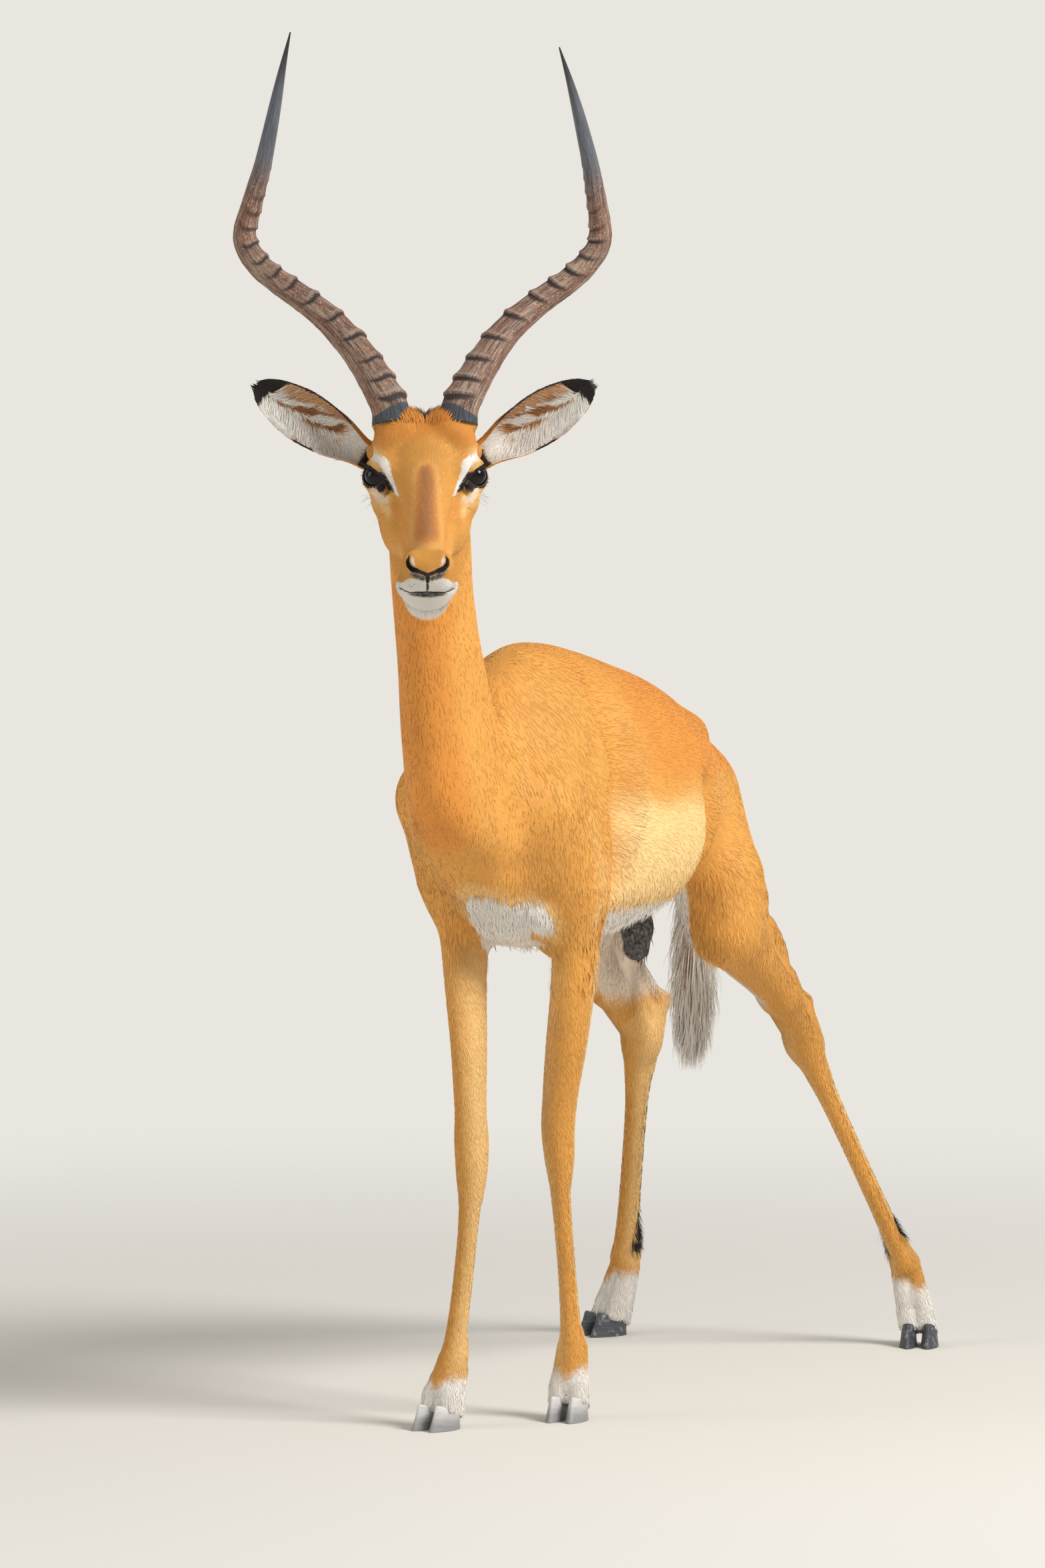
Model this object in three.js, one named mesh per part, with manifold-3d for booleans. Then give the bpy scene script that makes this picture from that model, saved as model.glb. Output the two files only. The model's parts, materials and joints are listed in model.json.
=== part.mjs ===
// An adult impala ram, life size, standing with its hind feet set back and apart and its head
// turned to its left. Millimetres, +Z up, the ram faces -Y and its left side is +X.
//
// The flesh is one smooth field made of named forms: tubes that follow stations along an axis, bones
// (round cones) and blobs (ellipsoids), all blended. Each sub-part takes its own piece of that field,
// cut off by planes, and is meshed at the fineness that it needs. Horns, ears, eyes and claws are
// swept or lofted by themselves and seated in the flesh with a small gap.
import * as THREE from "three";
import { mergeVertices } from "three/addons/utils/BufferGeometryUtils.js";
import Module from "manifold-3d";

// ---------------------------------------------------------------- driving dimensions
const GAP = 0.35; // clearance between neighbouring solids
const HEAD_YAW = 24.6; // degrees, turned to the ram's left
const HEAD_PITCH = 36.5; // degrees, muzzle below level
const EYE_MIDDLE = [30, -303, 1100]; // halfway between the eyes
const EYE_OUT = 51; // an eye's centre from the head's middle plane
const EYE_RADIUS = 17;
const HORN_RINGS = 15;
const HORN_SEAT_RADIUS = 25; // the hollow in the head that holds a horn
const CLAW_RADIUS = 11.5; // half the width of one claw
const SIDES = { left: 1, right: -1 };

const wasm = await Module();
wasm.setup();
const rad = THREE.MathUtils.degToRad;
const v3 = (p) => new THREE.Vector3(...p);
const mirror = (p, side) => [p[0] * side, p[1], p[2]];

// ---------------------------------------------------------------- frames
// A frame turns a point of the body into local x (to the side), y and z (along the part).
function frame(origin, x, z) {
  const zAxis = v3(z).normalize();
  const yAxis = zAxis.clone().cross(v3(x)).normalize();
  const xAxis = yAxis.clone().cross(zAxis);
  const m = new THREE.Matrix4().makeBasis(xAxis, yAxis, zAxis).setPosition(v3(origin));
  const back = m.clone().invert().elements;
  const local = (p) => [
    back[0] * p[0] + back[4] * p[1] + back[8] * p[2] + back[12],
    back[1] * p[0] + back[5] * p[1] + back[9] * p[2] + back[13],
    back[2] * p[0] + back[6] * p[1] + back[10] * p[2] + back[14],
  ];
  const world = (p) => v3(p).applyMatrix4(m).toArray();
  return { m, local, world };
}

// The head's frame: x to its left, y up out of the face, z along the muzzle.
const yaw = rad(HEAD_YAW);
const pitch = rad(HEAD_PITCH);
const MUZZLE = [
  Math.sin(yaw) * Math.cos(pitch),
  -Math.cos(yaw) * Math.cos(pitch),
  -Math.sin(pitch),
];
const HEAD = frame(EYE_MIDDLE, [Math.cos(yaw), Math.sin(yaw), 0], MUZZLE);
// A point of the head: side (left +), along (muzzle +), up (forehead +).
const onHead = (side, along, up) => HEAD.world([side, up, along]);

// ---------------------------------------------------------------- forms
function spline(xs, ys) {
  const n = xs.length;
  const slope = ys.map((_, i) => {
    const a = Math.max(i - 1, 0);
    const b = Math.min(i + 1, n - 1);
    return (ys[b] - ys[a]) / (xs[b] - xs[a]);
  });
  return (x) => {
    const t = Math.min(Math.max(x, xs[0]), xs[n - 1]);
    let i = 0;
    while (i < n - 2 && t > xs[i + 1]) i++;
    const h = xs[i + 1] - xs[i];
    const u = (t - xs[i]) / h;
    const w = u * u * (3 - 2 * u);
    return (
      ys[i] * (1 - w) +
      ys[i + 1] * w +
      h * (slope[i] * u * (1 - u) ** 2 - slope[i + 1] * u * u * (1 - u))
    );
  };
}

// Distance to an ellipse or ellipsoid of radii r, good close to its surface.
function roundDistance(p, r) {
  const k0 = Math.hypot(...p.map((x, i) => x / r[i]));
  const k1 = Math.hypot(...p.map((x, i) => x / (r[i] * r[i])));
  return k1 < 1e-9 ? -Math.min(...r) : (k0 * (k0 - 1)) / k1;
}

// Stations are [along, middle x, middle y, half width x, half width y, egg]: a positive egg
// widens the side towards +y. The ends are rounded over endReach.
function tube(fr, stations, blend, endReach = 30) {
  const along = stations.map((s) => s[0]);
  const [cx, cy, rx, ry, egg] = [1, 2, 3, 4, 5].map((c) => spline(along, stations.map((s) => s[c] ?? 0)));
  const [z0, z1] = [along[0], along[along.length - 1]];
  const field = (p) => {
    const q = fr.local(p);
    const z = Math.min(Math.max(q[2], z0), z1);
    const [a, b] = [rx(z), ry(z)];
    const y = q[1] - cy(z);
    const wide = a * (1 + egg(z) * Math.max(-1, Math.min(1, y / b)));
    return roundDistance([q[0] - cx(z), y, q[2] - z], [wide, b, endReach]);
  };
  return { field, blend };
}

function bone(a, b, ra, rb, blend) {
  const [pa, pb] = [v3(a), v3(b)];
  const ba = pb.clone().sub(pa);
  const l2 = ba.lengthSq();
  const field = (p) => {
    const h = ((p[0] - a[0]) * ba.x + (p[1] - a[1]) * ba.y + (p[2] - a[2]) * ba.z) / l2;
    const t = Math.min(Math.max(h, 0), 1);
    const d = Math.hypot(p[0] - a[0] - t * ba.x, p[1] - a[1] - t * ba.y, p[2] - a[2] - t * ba.z);
    return d - ra - (rb - ra) * t * t * (3 - 2 * t);
  };
  return { field, blend };
}

function blob(fr, centre, radii, blend) {
  const c = fr ? fr.local(centre) : centre;
  const field = (p) => {
    const q = fr ? fr.local(p) : p;
    return roundDistance([q[0] - c[0], q[1] - c[1], q[2] - c[2]], radii);
  };
  return { field, blend };
}

function smoothUnion(forms) {
  return (p) => {
    let d = Infinity;
    for (const { field, blend } of forms) {
      const e = field(p);
      if (d === Infinity) {
        d = e;
        continue;
      }
      const h = Math.max(blend - Math.abs(d - e), 0) / blend;
      d = Math.min(d, e) - (h * h * blend) / 4;
    }
    return d;
  };
}

// ---------------------------------------------------------------- the ram's anatomy
// Trunk: z of the local frame is the body's +Y, and its y is the body's -Z, so belly is +y.
const LENGTHWISE = frame([0, 0, 0], [1, 0, 0], [0, 1, 0]);
// [Y, half width, top, bottom, egg]
const TRUNK = [
  [-95, 50, 790, 650, 0],
  [-50, 78, 860, 598, 0.15],
  [10, 100, 892, 552, 0.25],
  [80, 114, 893, 545, 0.22],
  [160, 131, 880, 541, 0.16],
  [240, 140, 862, 543, 0.14],
  [320, 133, 843, 560, 0.14],
  [390, 108, 819, 590, 0.12],
  [450, 86, 784, 612, 0.1],
  [510, 62, 744, 628, 0],
  [550, 40, 706, 638, 0],
];
const trunkForm = tube(
  LENGTHWISE,
  TRUNK.map(([y, w, top, bottom, egg]) => [y, 0, -(top + bottom) / 2, w, (top - bottom) / 2, egg]),
  40,
);

// Neck: [Z, middle Y, half width, half depth]
const UPRIGHT = frame([0, 0, 0], [1, 0, 0], [0, 0, 1]);
const NECK = [
  [612, -40, 40, 26],
  [648, -70, 54, 56],
  [700, -112, 57, 104],
  [790, -156, 52, 96],
  [884, -187, 48, 77],
  [960, -211, 46, 58],
  [1030, -222, 46, 54],
  [1090, -235, 45, 50],
  [1130, -246, 40, 40],
];
const neckForm = tube(UPRIGHT, NECK.map(([z, y, w, d]) => [z, 0, y, w, d]), 60, 15);

// Head: [along, half width, top, bottom, egg], measured from the eyes' middle.
const CRANIUM = [
  [-92, 38, 6, -46, 0],
  [-62, 47, 31, -68, 0],
  [-32, 50, 50, -84, 0.1],
  [0, 49, 49, -89, 0.15],
  [30, 42, 38, -86, 0.1],
  [65, 32, 24, -80, -0.05],
  [100, 28, 12, -77, -0.15],
  [125, 28, 6, -75, -0.2],
  [146, 26, -2, -68, -0.2],
];
// A station of the head's tube from its half width and its heights above the eyes' middle.
const station = (s, w, top, low, egg) => [s, 0, (top + low) / 2, w, (top - low) / 2, egg];
const headForms = [
  tube(HEAD, CRANIUM.map(([s, w, top, low, egg]) => station(s, w, top, low, egg)), 30, 16),
  blob(HEAD, onHead(0, 146, -16), [22, 20, 18], 12), // nose
  blob(HEAD, onHead(0, 139, -41), [35, 21, 15], 12), // upper lip
  blob(HEAD, onHead(0, 124, -68), [23, 19, 24], 14), // chin
  bone(onHead(-18, -50, 34), onHead(18, -50, 34), 15, 15, 16), // crown between the horns
];
for (const side of Object.values(SIDES)) {
  headForms.push(
    blob(HEAD, onHead(44 * side, -2, 10), [19, 24, 28], 16), // brow and eye socket
    blob(HEAD, onHead(33 * side, 18, -46), [18, 34, 44], 28), // cheek
    blob(HEAD, onHead(17 * side, 143, -12), [12, 15, 14], 10), // nostril's wing
    bone(onHead(30 * side, -38, 24), onHead(36 * side, -44, 35), 22, 25, 14), // horn's pedicle
    bone(onHead(38 * side, -50, -10), onHead(52 * side, -50, -6), 22, 14, 16), // ear's root
  );
}

// Shoulder, haunch and hind limb of one side.
const STIFLE = [101, 412, 538];
const HOCK = { left: [102, 660, 380], right: [-108, 668, 374] };
const HEEL = { left: [100, 660, 426], right: [-86, 672, 420] }; // the point of the hock
const HIND_FOOT = {
  left: { fetlock: [168, 824, 101], coronet: [179, 834, 38], ground: [184, 830, 0], toeOut: 16 },
  right: { fetlock: [-180, 792, 96], coronet: [-198, 790, 38], ground: [-206, 784, 0], toeOut: -28 },
};
const FORE_LEG = {
  // [Z, middle X, middle Y, half width, half depth] from the foot up; X is outwards
  left: [
    [44, 50, 68, 15, 17],
    [80, 49, 78, 17, 21],
    [112, 47.5, 75, 12.5, 17],
    [180, 44.5, 70, 11.2, 15],
    [262, 40, 64, 12.6, 16.5],
    [300, 39, 62, 17.5, 22],
    [336, 39, 58, 19.5, 25],
    [375, 42, 58, 21, 25],
    [430, 50, 56, 24, 32],
    [500, 60, 52, 26, 41],
    [570, 69, 42, 29, 48],
    [610, 74, 30, 32, 52],
  ],
  right: [
    [44, 53, -58, 15, 17],
    [78, 47, -45, 17, 21],
    [110, 43.5, -42, 13.5, 17],
    [180, 36, -38, 12.8, 15],
    [250, 30, -36, 13.8, 16.5],
    [290, 29, -34, 18.5, 22],
    [325, 30, -32, 20, 25],
    [362, 33, -28, 18.5, 24],
    [430, 40, -16, 20, 32],
    [500, 49, -4, 23.5, 41],
    [570, 60, 14, 29, 48],
    [610, 69, 18, 32, 52],
  ],
};
const FORE_FOOT = {
  left: { fetlock: [49, 76, 80], coronet: [50, 64, 38], ground: [50, 58, 0], toeOut: 4 },
  right: { fetlock: [-47, -46, 78], coronet: [-55, -62, 38], ground: [-58, -68, 0], toeOut: -12 },
};

// The two toes of a foot with their bulbs of the heel, from the fetlock down into the claws.
function toes({ fetlock, coronet, ground, toeOut }) {
  const out = rad(toeOut);
  const at = (p, side, back, z) => [
    p[0] + Math.cos(out) * side - Math.sin(out) * back,
    p[1] + Math.sin(out) * side + Math.cos(out) * back,
    z,
  ];
  return [1, -1].flatMap((way) => [
    bone(at(fetlock, 7 * way, 0, fetlock[2]), at(coronet, 11 * way, 0, coronet[2]), 12, 13, 5),
    bone(at(coronet, 11 * way, 0, coronet[2]), at(ground, 11.5 * way, -4, 8), 13, 13, 5),
    bone(at(fetlock, 6 * way, 6, fetlock[2] - 14), at(ground, 11 * way, 20, 12), 10, 11.5, 6),
  ]);
}

function limbForms(name) {
  const s = SIDES[name];
  const at = (p) => mirror(p, s);
  const hind = HIND_FOOT[name];
  const fore = FORE_LEG[name];
  const [hock, heel, calf] = [HOCK[name], HEEL[name], at([108, 565, 448])];
  const [from, fetlock] = [v3(hock), v3(hind.fetlock)];
  const out = rad(hind.toeOut);
  const shin = frame(hock, [Math.cos(out), Math.sin(out), 0], fetlock.clone().sub(from).toArray());
  const shinLength = fetlock.distanceTo(from);
  const upper = [
    bone(at([36, 40, 826]), at([63, -52, 728]), 34, 40, 45), // shoulder blade
    bone(at([66, -55, 712]), at([66, 20, 605]), 40, 35, 40), // upper arm
    blob(null, at([74, 22, 668]), [40, 66, 78], 35), // triceps
    blob(null, at([62, 394, 766]), [18, 34, 18], 30), // hip bone
    bone(at([36, 456, 694]), at([84, 432, 590]), 50, 57, 45), // thigh
    bone(at([37, 494, 680]), at([84, 490, 560]), 42, 42, 40), // buttock and hamstring
    bone(at([92, 410, 600]), at(STIFLE), 46, 40, 30), // stifle
  ];
  const lower = [
    tube(UPRIGHT, fore.map(([z, x, y, w, d]) => [z, x * s, y, w, d]), 26, 10),
    bone(at(STIFLE), calf, 41, 26, 30), // calf
    bone(calf, hock, 24, 20, 16),
    bone(at([102, 520, 525]), heel, 24, 10, 18), // tendon of the heel
    bone(at([104, 560, 476]), v3(heel).add(from).divideScalar(2).toArray(), 15, 13, 12), // web between
    bone(heel, hock, 12.5, 19, 14),
    tube(
      shin,
      [
        [-14, 0, 0, 17, 22],
        [12, 0, 0, 19, 25],
        [44, 0, 0, 16, 22],
        [90, 0, 0, 13, 17.5],
        [shinLength * 0.62, 0, 0, 12, 16.5],
        [shinLength - 34, 0, 0, 13.5, 18],
        [shinLength, 0, 0, 18, 22],
      ],
      16,
      14,
    ),
    ...toes(hind),
    ...toes(FORE_FOOT[name]),
  ];
  return { upper, lower };
}

const limbs = ["left", "right"].map(limbForms);
const bodyForms = [
  trunkForm,
  neckForm,
  bone([0, -138, 690], [0, -84, 640], 34, 38, 50), // front of the breastbone
  bone([0, -20, 604], [0, 50, 588], 38, 36, 40), // brisket
  ...limbs.flatMap((l) => l.upper),
];
const body = smoothUnion(bodyForms);
const flesh = smoothUnion([...bodyForms, ...headForms, ...limbs.flatMap((l) => l.lower)]);

// ---------------------------------------------------------------- meshing a field
// Surface nets over a box with its own step on each axis: one vertex in each cell that the surface
// crosses, pulled onto the surface, and one quad round each crossed edge.
function meshField(field, low, high, step) {
  const n = [0, 1, 2].map((k) => Math.ceil((high[k] - low[k]) / step[k]) + 1);
  const at = (i, j, k) => [low[0] + i * step[0], low[1] + j * step[1], low[2] + k * step[2]];
  const index = (i, j, k) => (i * n[1] + j) * n[2] + k;
  const value = new Float64Array(n[0] * n[1] * n[2]).fill(1);
  for (let i = 1; i < n[0] - 1; i++)
    for (let j = 1; j < n[1] - 1; j++)
      for (let k = 1; k < n[2] - 1; k++) value[index(i, j, k)] = field(at(i, j, k));

  const vertices = [];
  const cell = new Int32Array(value.length).fill(-1);
  const corners = [0, 1, 2, 3, 4, 5, 6, 7].map((c) => [c & 1, (c >> 1) & 1, c >> 2]);
  const edges = [];
  for (let a = 0; a < 8; a++) for (const bit of [1, 2, 4]) if (!(a & bit)) edges.push([a, a | bit]);
  for (let i = 0; i < n[0] - 1; i++)
    for (let j = 0; j < n[1] - 1; j++)
      for (let k = 0; k < n[2] - 1; k++) {
        const f = corners.map(([a, b, c]) => value[index(i + a, j + b, k + c)]);
        const crossed = edges.filter(([a, b]) => f[a] < 0 !== f[b] < 0);
        if (!crossed.length) continue;
        const sum = [0, 0, 0];
        for (const [a, b] of crossed) {
          const t = f[a] / (f[a] - f[b]);
          for (let c = 0; c < 3; c++) sum[c] += corners[a][c] * (1 - t) + corners[b][c] * t;
        }
        const p = [i, j, k].map((g, c) => low[c] + (g + sum[c] / crossed.length) * step[c]);
        cell[index(i, j, k)] = vertices.length / 3;
        vertices.push(...settle(field, p, step));
      }

  const triangles = [];
  const quad = (a, b, c, d, flip) => {
    const q = flip ? [d, c, b, a] : [a, b, c, d];
    const far = (x, y) => Math.hypot(...[0, 1, 2].map((m) => vertices[x * 3 + m] - vertices[y * 3 + m]));
    const [w, x, y, z] = far(q[0], q[2]) < far(q[1], q[3]) ? q : [q[1], q[2], q[3], q[0]];
    triangles.push(w, x, y, w, y, z);
  };
  for (let i = 0; i < n[0] - 1; i++)
    for (let j = 0; j < n[1] - 1; j++)
      for (let k = 0; k < n[2] - 1; k++) {
        const inside = value[index(i, j, k)] < 0;
        const crosses = (a, b, c) => inside !== value[index(i + a, j + b, k + c)] < 0;
        const at = (a, b, c) => cell[index(i - a, j - b, k - c)];
        const here = at(0, 0, 0);
        if (crosses(1, 0, 0)) quad(at(0, 1, 1), at(0, 0, 1), here, at(0, 1, 0), !inside);
        if (crosses(0, 1, 0)) quad(at(1, 0, 1), at(1, 0, 0), here, at(0, 0, 1), !inside);
        if (crosses(0, 0, 1)) quad(at(1, 1, 0), at(0, 1, 0), here, at(1, 0, 0), !inside);
      }
  return solid(new Float32Array(vertices), new Uint32Array(triangles));
}

// Moves a net vertex along the field's slope onto the surface, by no more than half a cell.
function settle(field, p, step) {
  const reach = Math.min(...step) / 2;
  const d = field(p);
  if (Math.abs(d) > reach * 2) return p;
  const e = 0.5;
  const g = [0, 1, 2].map((c) => {
    const q = [...p];
    q[c] += e;
    return (field(q) - d) / e;
  });
  const l2 = g[0] ** 2 + g[1] ** 2 + g[2] ** 2 || 1;
  const move = Math.max(-reach, Math.min(reach, d / Math.sqrt(l2)));
  return p.map((x, c) => x - (move * g[c]) / Math.sqrt(l2));
}

// A limb's piece of the field as rings round a path: each ring's points are where rays from the
// path first leave the flesh, no further out than reach.
function skinAlong(field, path, spacing, count, reach) {
  const curve = new THREE.CatmullRomCurve3(path.map(v3), false, "centripetal");
  const rings = Math.round(curve.getLength() / spacing);
  const points = [];
  for (let i = 0; i <= rings; i++) {
    const c = curve.getPointAt(i / rings);
    const tangent = curve.getTangentAt(i / rings);
    const front = tangent.clone().cross(new THREE.Vector3(1, 0, 0)).normalize();
    const side = front.clone().cross(tangent);
    for (let j = 0; j < count; j++) {
      const a = (2 * Math.PI * j) / count;
      const ray = side.clone().multiplyScalar(Math.cos(a)).addScaledVector(front, Math.sin(a));
      let r = 4;
      for (let step = 0; step < 60 && r < reach; step++) {
        const d = field(c.clone().addScaledVector(ray, r).toArray());
        if (d > -0.05) break;
        r = Math.min(reach, r - d * 0.8);
      }
      points.push(...c.clone().addScaledVector(ray, r).toArray());
    }
  }
  const middle = points.length / 3;
  points.push(...curve.getPointAt(0).toArray(), ...curve.getPointAt(1).toArray());
  const faces = [];
  for (let j = 0; j < count; j++) {
    const k = (j + 1) % count;
    for (let i = 0; i < rings; i++) {
      const [a, b] = [i * count, (i + 1) * count];
      faces.push(a + j, a + k, b + k, a + j, b + k, b + j);
    }
    faces.push(middle, k, j, middle + 1, rings * count + j, rings * count + k);
  }
  return closed(points, faces);
}

// ---------------------------------------------------------------- solids
function solid(vertProperties, triVerts) {
  return new wasm.Manifold(new wasm.Mesh({ numProp: 3, vertProperties, triVerts }));
}

// A solid from points and faces that are all wound one way, turned so that they face outwards.
function closed(points, faces) {
  const made = solid(new Float32Array(points), new Uint32Array(faces));
  return made.volume() < 0 ? solid(new Float32Array(points), new Uint32Array(faces.reverse())) : made;
}

function solidOf(geometry) {
  const g = geometry.clone();
  g.deleteAttribute("normal");
  g.deleteAttribute("uv");
  const m = mergeVertices(g, 1e-4);
  return solid(new Float32Array(m.attributes.position.array), new Uint32Array(m.index.array));
}

function geometryOf(manifold) {
  const { vertProperties, triVerts } = manifold.getMesh();
  const g = new THREE.BufferGeometry();
  g.setAttribute("position", new THREE.BufferAttribute(new Float32Array(vertProperties), 3));
  g.setIndex(new THREE.BufferAttribute(new Uint32Array(triVerts), 1));
  return g;
}

const largest = (manifold) => manifold.decompose().reduce((a, b) => (a.volume() > b.volume() ? a : b));

// Everything on the side of a plane that its normal points to, as a very large block.
const WORLD = 4000;
function beyond({ point, normal }, offset = 0) {
  const out = v3(normal).normalize();
  const g = new THREE.BoxGeometry(WORLD, WORLD, WORLD);
  g.translate(0, 0, WORLD / 2 + offset);
  g.applyQuaternion(new THREE.Quaternion().setFromUnitVectors(new THREE.Vector3(0, 0, 1), out));
  g.translate(...point);
  return solidOf(g);
}
const region = (planes, offset = 0) =>
  planes.map((p) => beyond(p, offset)).reduce((a, b) => a.intersect(b));

// ---------------------------------------------------------------- where the flesh is parted
const headDirection = (along, up) => v3(onHead(0, along, up)).sub(v3(EYE_MIDDLE)).toArray();
const NECK_TO_HEAD = [
  { point: onHead(0, -88, 20), normal: headDirection(0.877, 0.481) }, // behind the ears and the jaw
  { point: onHead(0, -31, -90), normal: headDirection(0.163, 0.987) }, // under the jaw
];
const THROAT_FRONT = [{ point: onHead(0, 36, -95), normal: [MUZZLE[0], MUZZLE[1], 0] }];
const TRUNK_TO_NECK = [{ point: [0, -74, 904], normal: [0, -0.8, 0.6] }];
const foreRegion = (s) => {
  const elbow = FORE_LEG[s > 0 ? "left" : "right"].at(-2)[2];
  return [
    { point: [38 * s, 0, 560], normal: [0.5 * s, 0, -0.87] },
    { point: [20 * s, 0, 0], normal: [s, 0, 0] },
    { point: [0, elbow + 50, 560], normal: [0, -1, -0.12] },
    { point: [0, elbow - 54, 560], normal: [0, 1, -0.15] },
  ];
};
const hindRegion = (s) => [
  { point: [0, 450, 622], normal: [0.66 * s, 0.42, -0.72] },
  { point: [100 * s, 345, 600], normal: [0.1 * s, 0.93, -0.36] },
  { point: [4 * s, 0, 0], normal: [s, 0, 0] },
];

// ---------------------------------------------------------------- tail
const TAIL = [
  // [Z, middle Y, half width, half depth], hair included
  [348, 566, 8, 5],
  [390, 570, 21, 9],
  [450, 574, 29, 12],
  [520, 578, 28, 13],
  [590, 578, 22, 13],
  [650, 570, 14, 13],
  [700, 548, 15, 15],
  [722, 530, 15, 15],
];
const TAIL_SIDE = -4; // the brush hangs a little to the ram's right
const tailField = tube(UPRIGHT, TAIL.map(([z, y, w, d]) => [z, TAIL_SIDE, y, w, d]), 1, 8).field;

// ---------------------------------------------------------------- horns
// The horns' middle line: [out, forward, up] from the eyes' middle, in a level frame that looks the
// way the head looks. Forward is negative where a horn sweeps back. The horns are alike up to the
// bend, and each has its own point.
const HORN_LINE = [
  [37, -8, 58],
  [39, -12, 75],
  [52, -28, 101],
  [68, -46, 127],
  [86, -66, 150],
  [109, -84, 173],
  [135, -98, 193],
  [161, -109, 211],
  [182, -117, 229],
  [197, -124, 251],
  [199, -126, 268],
];
const HORN_POINT = {
  left: [
    [197, -126, 287],
    [193, -123, 312],
    [188, -119, 340],
    [181, -113, 370],
    [173, -107, 402],
    [163, -101, 438],
    [152, -95, 473],
  ],
  right: [
    [194, -126, 287],
    [187, -123, 312],
    [179, -119, 340],
    [172, -113, 372],
    [165, -107, 407],
    [157, -100, 448],
    [148, -93, 490],
  ],
};
const HEADING = frame(EYE_MIDDLE, [Math.cos(yaw), Math.sin(yaw), 0], [0, 0, 1]);
const levelPoint = (side) => ([out, forward, up]) => HEADING.world([out * side, -forward, up]);

// Radius at a share t of the horn's length, without and with its rings.
const hornTaper = spline([0, 0.12, 0.35, 0.55, 0.7, 0.85, 1], [21.5, 19, 14.6, 12.8, 10, 6.6, 1.2]);
const RINGS_FROM = 0.1;
const RINGS_TO = 0.66;
// Rings crowd together towards the bend: ring i of n sits at this share of the length.
const ringAt = (i) => {
  const u = i / (HORN_RINGS - 1);
  return RINGS_FROM + (RINGS_TO - RINGS_FROM) * (1.32 * u - 0.32 * u * u);
};

function hornStations() {
  const stations = [[0, 0]];
  for (let i = 0; i < HORN_RINGS; i++) {
    const [t, gap] = [ringAt(i), ringAt(i + 1) - ringAt(i)];
    const rise = 2.4 * Math.min(1, (HORN_RINGS - i) / 5);
    stations.push([t - gap * 0.5, 0], [t, rise]);
  }
  for (const t of [0.72, 0.78, 0.84, 0.9, 0.95]) stations.push([t, 0]);
  return stations.map(([t, rise]) => [Math.max(t, 0), hornTaper(t) + rise]);
}

// A solid swept along a curve: a ring of points at each [share of length, radius], then a tip.
function sweep(curve, stations, count) {
  const points = [];
  for (const [t, r] of stations) {
    const tangent = curve.getTangentAt(t);
    const side = new THREE.Vector3(0, 1, 0).cross(tangent).normalize();
    const up = tangent.clone().cross(side);
    const c = curve.getPointAt(t);
    for (let j = 0; j < count; j++) {
      const a = (2 * Math.PI * j) / count;
      const [x, y] = [r * Math.cos(a), r * Math.sin(a)];
      points.push(c.x + side.x * x + up.x * y, c.y + side.y * x + up.y * y, c.z + side.z * x + up.z * y);
    }
  }
  const first = points.length / 3;
  points.push(...curve.getPointAt(0).toArray(), ...curve.getPointAt(1).toArray());
  const faces = [];
  for (let j = 0; j < count; j++) {
    const k = (j + 1) % count;
    for (let i = 0; i < stations.length - 1; i++) {
      const [a, b] = [i * count, (i + 1) * count];
      faces.push(a + j, a + k, b + k, a + j, b + k, b + j);
    }
    const last = (stations.length - 1) * count;
    faces.push(first, k, j, first + 1, last + j, last + k);
  }
  return closed(points, faces);
}

function hornSolids(name) {
  const line = [...HORN_LINE, ...HORN_POINT[name]].map(levelPoint(SIDES[name]));
  const curve = new THREE.CatmullRomCurve3(line.map(v3), false, "centripetal");
  const stations = hornStations();
  const horn = sweep(curve, stations, 8);
  const seatStations = stations.filter(([t]) => t < 0.24).map(([t]) => [t, HORN_SEAT_RADIUS]);
  const seat = sweep(curve, seatStations, 8);
  return { horn, seat };
}

// ---------------------------------------------------------------- ears
// A cupped leaf from the ear's root to its tip: across runs from the front edge to the back edge.
const EAR_ROOT = [60, -40, 16]; // out, forward, up in the level frame
const EAR_TIP = [187, -44, 98];
const EAR_THICKNESS = 4.5;
const earHalfWidth = spline([0, 0.12, 0.35, 0.6, 0.82, 0.94, 1], [13, 15, 25, 29, 23, 15, 7]);
const earCup = spline([0, 0.2, 0.5, 0.8, 1], [2.2, 1.9, 1.15, 0.75, 0.5]); // radians each way

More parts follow.
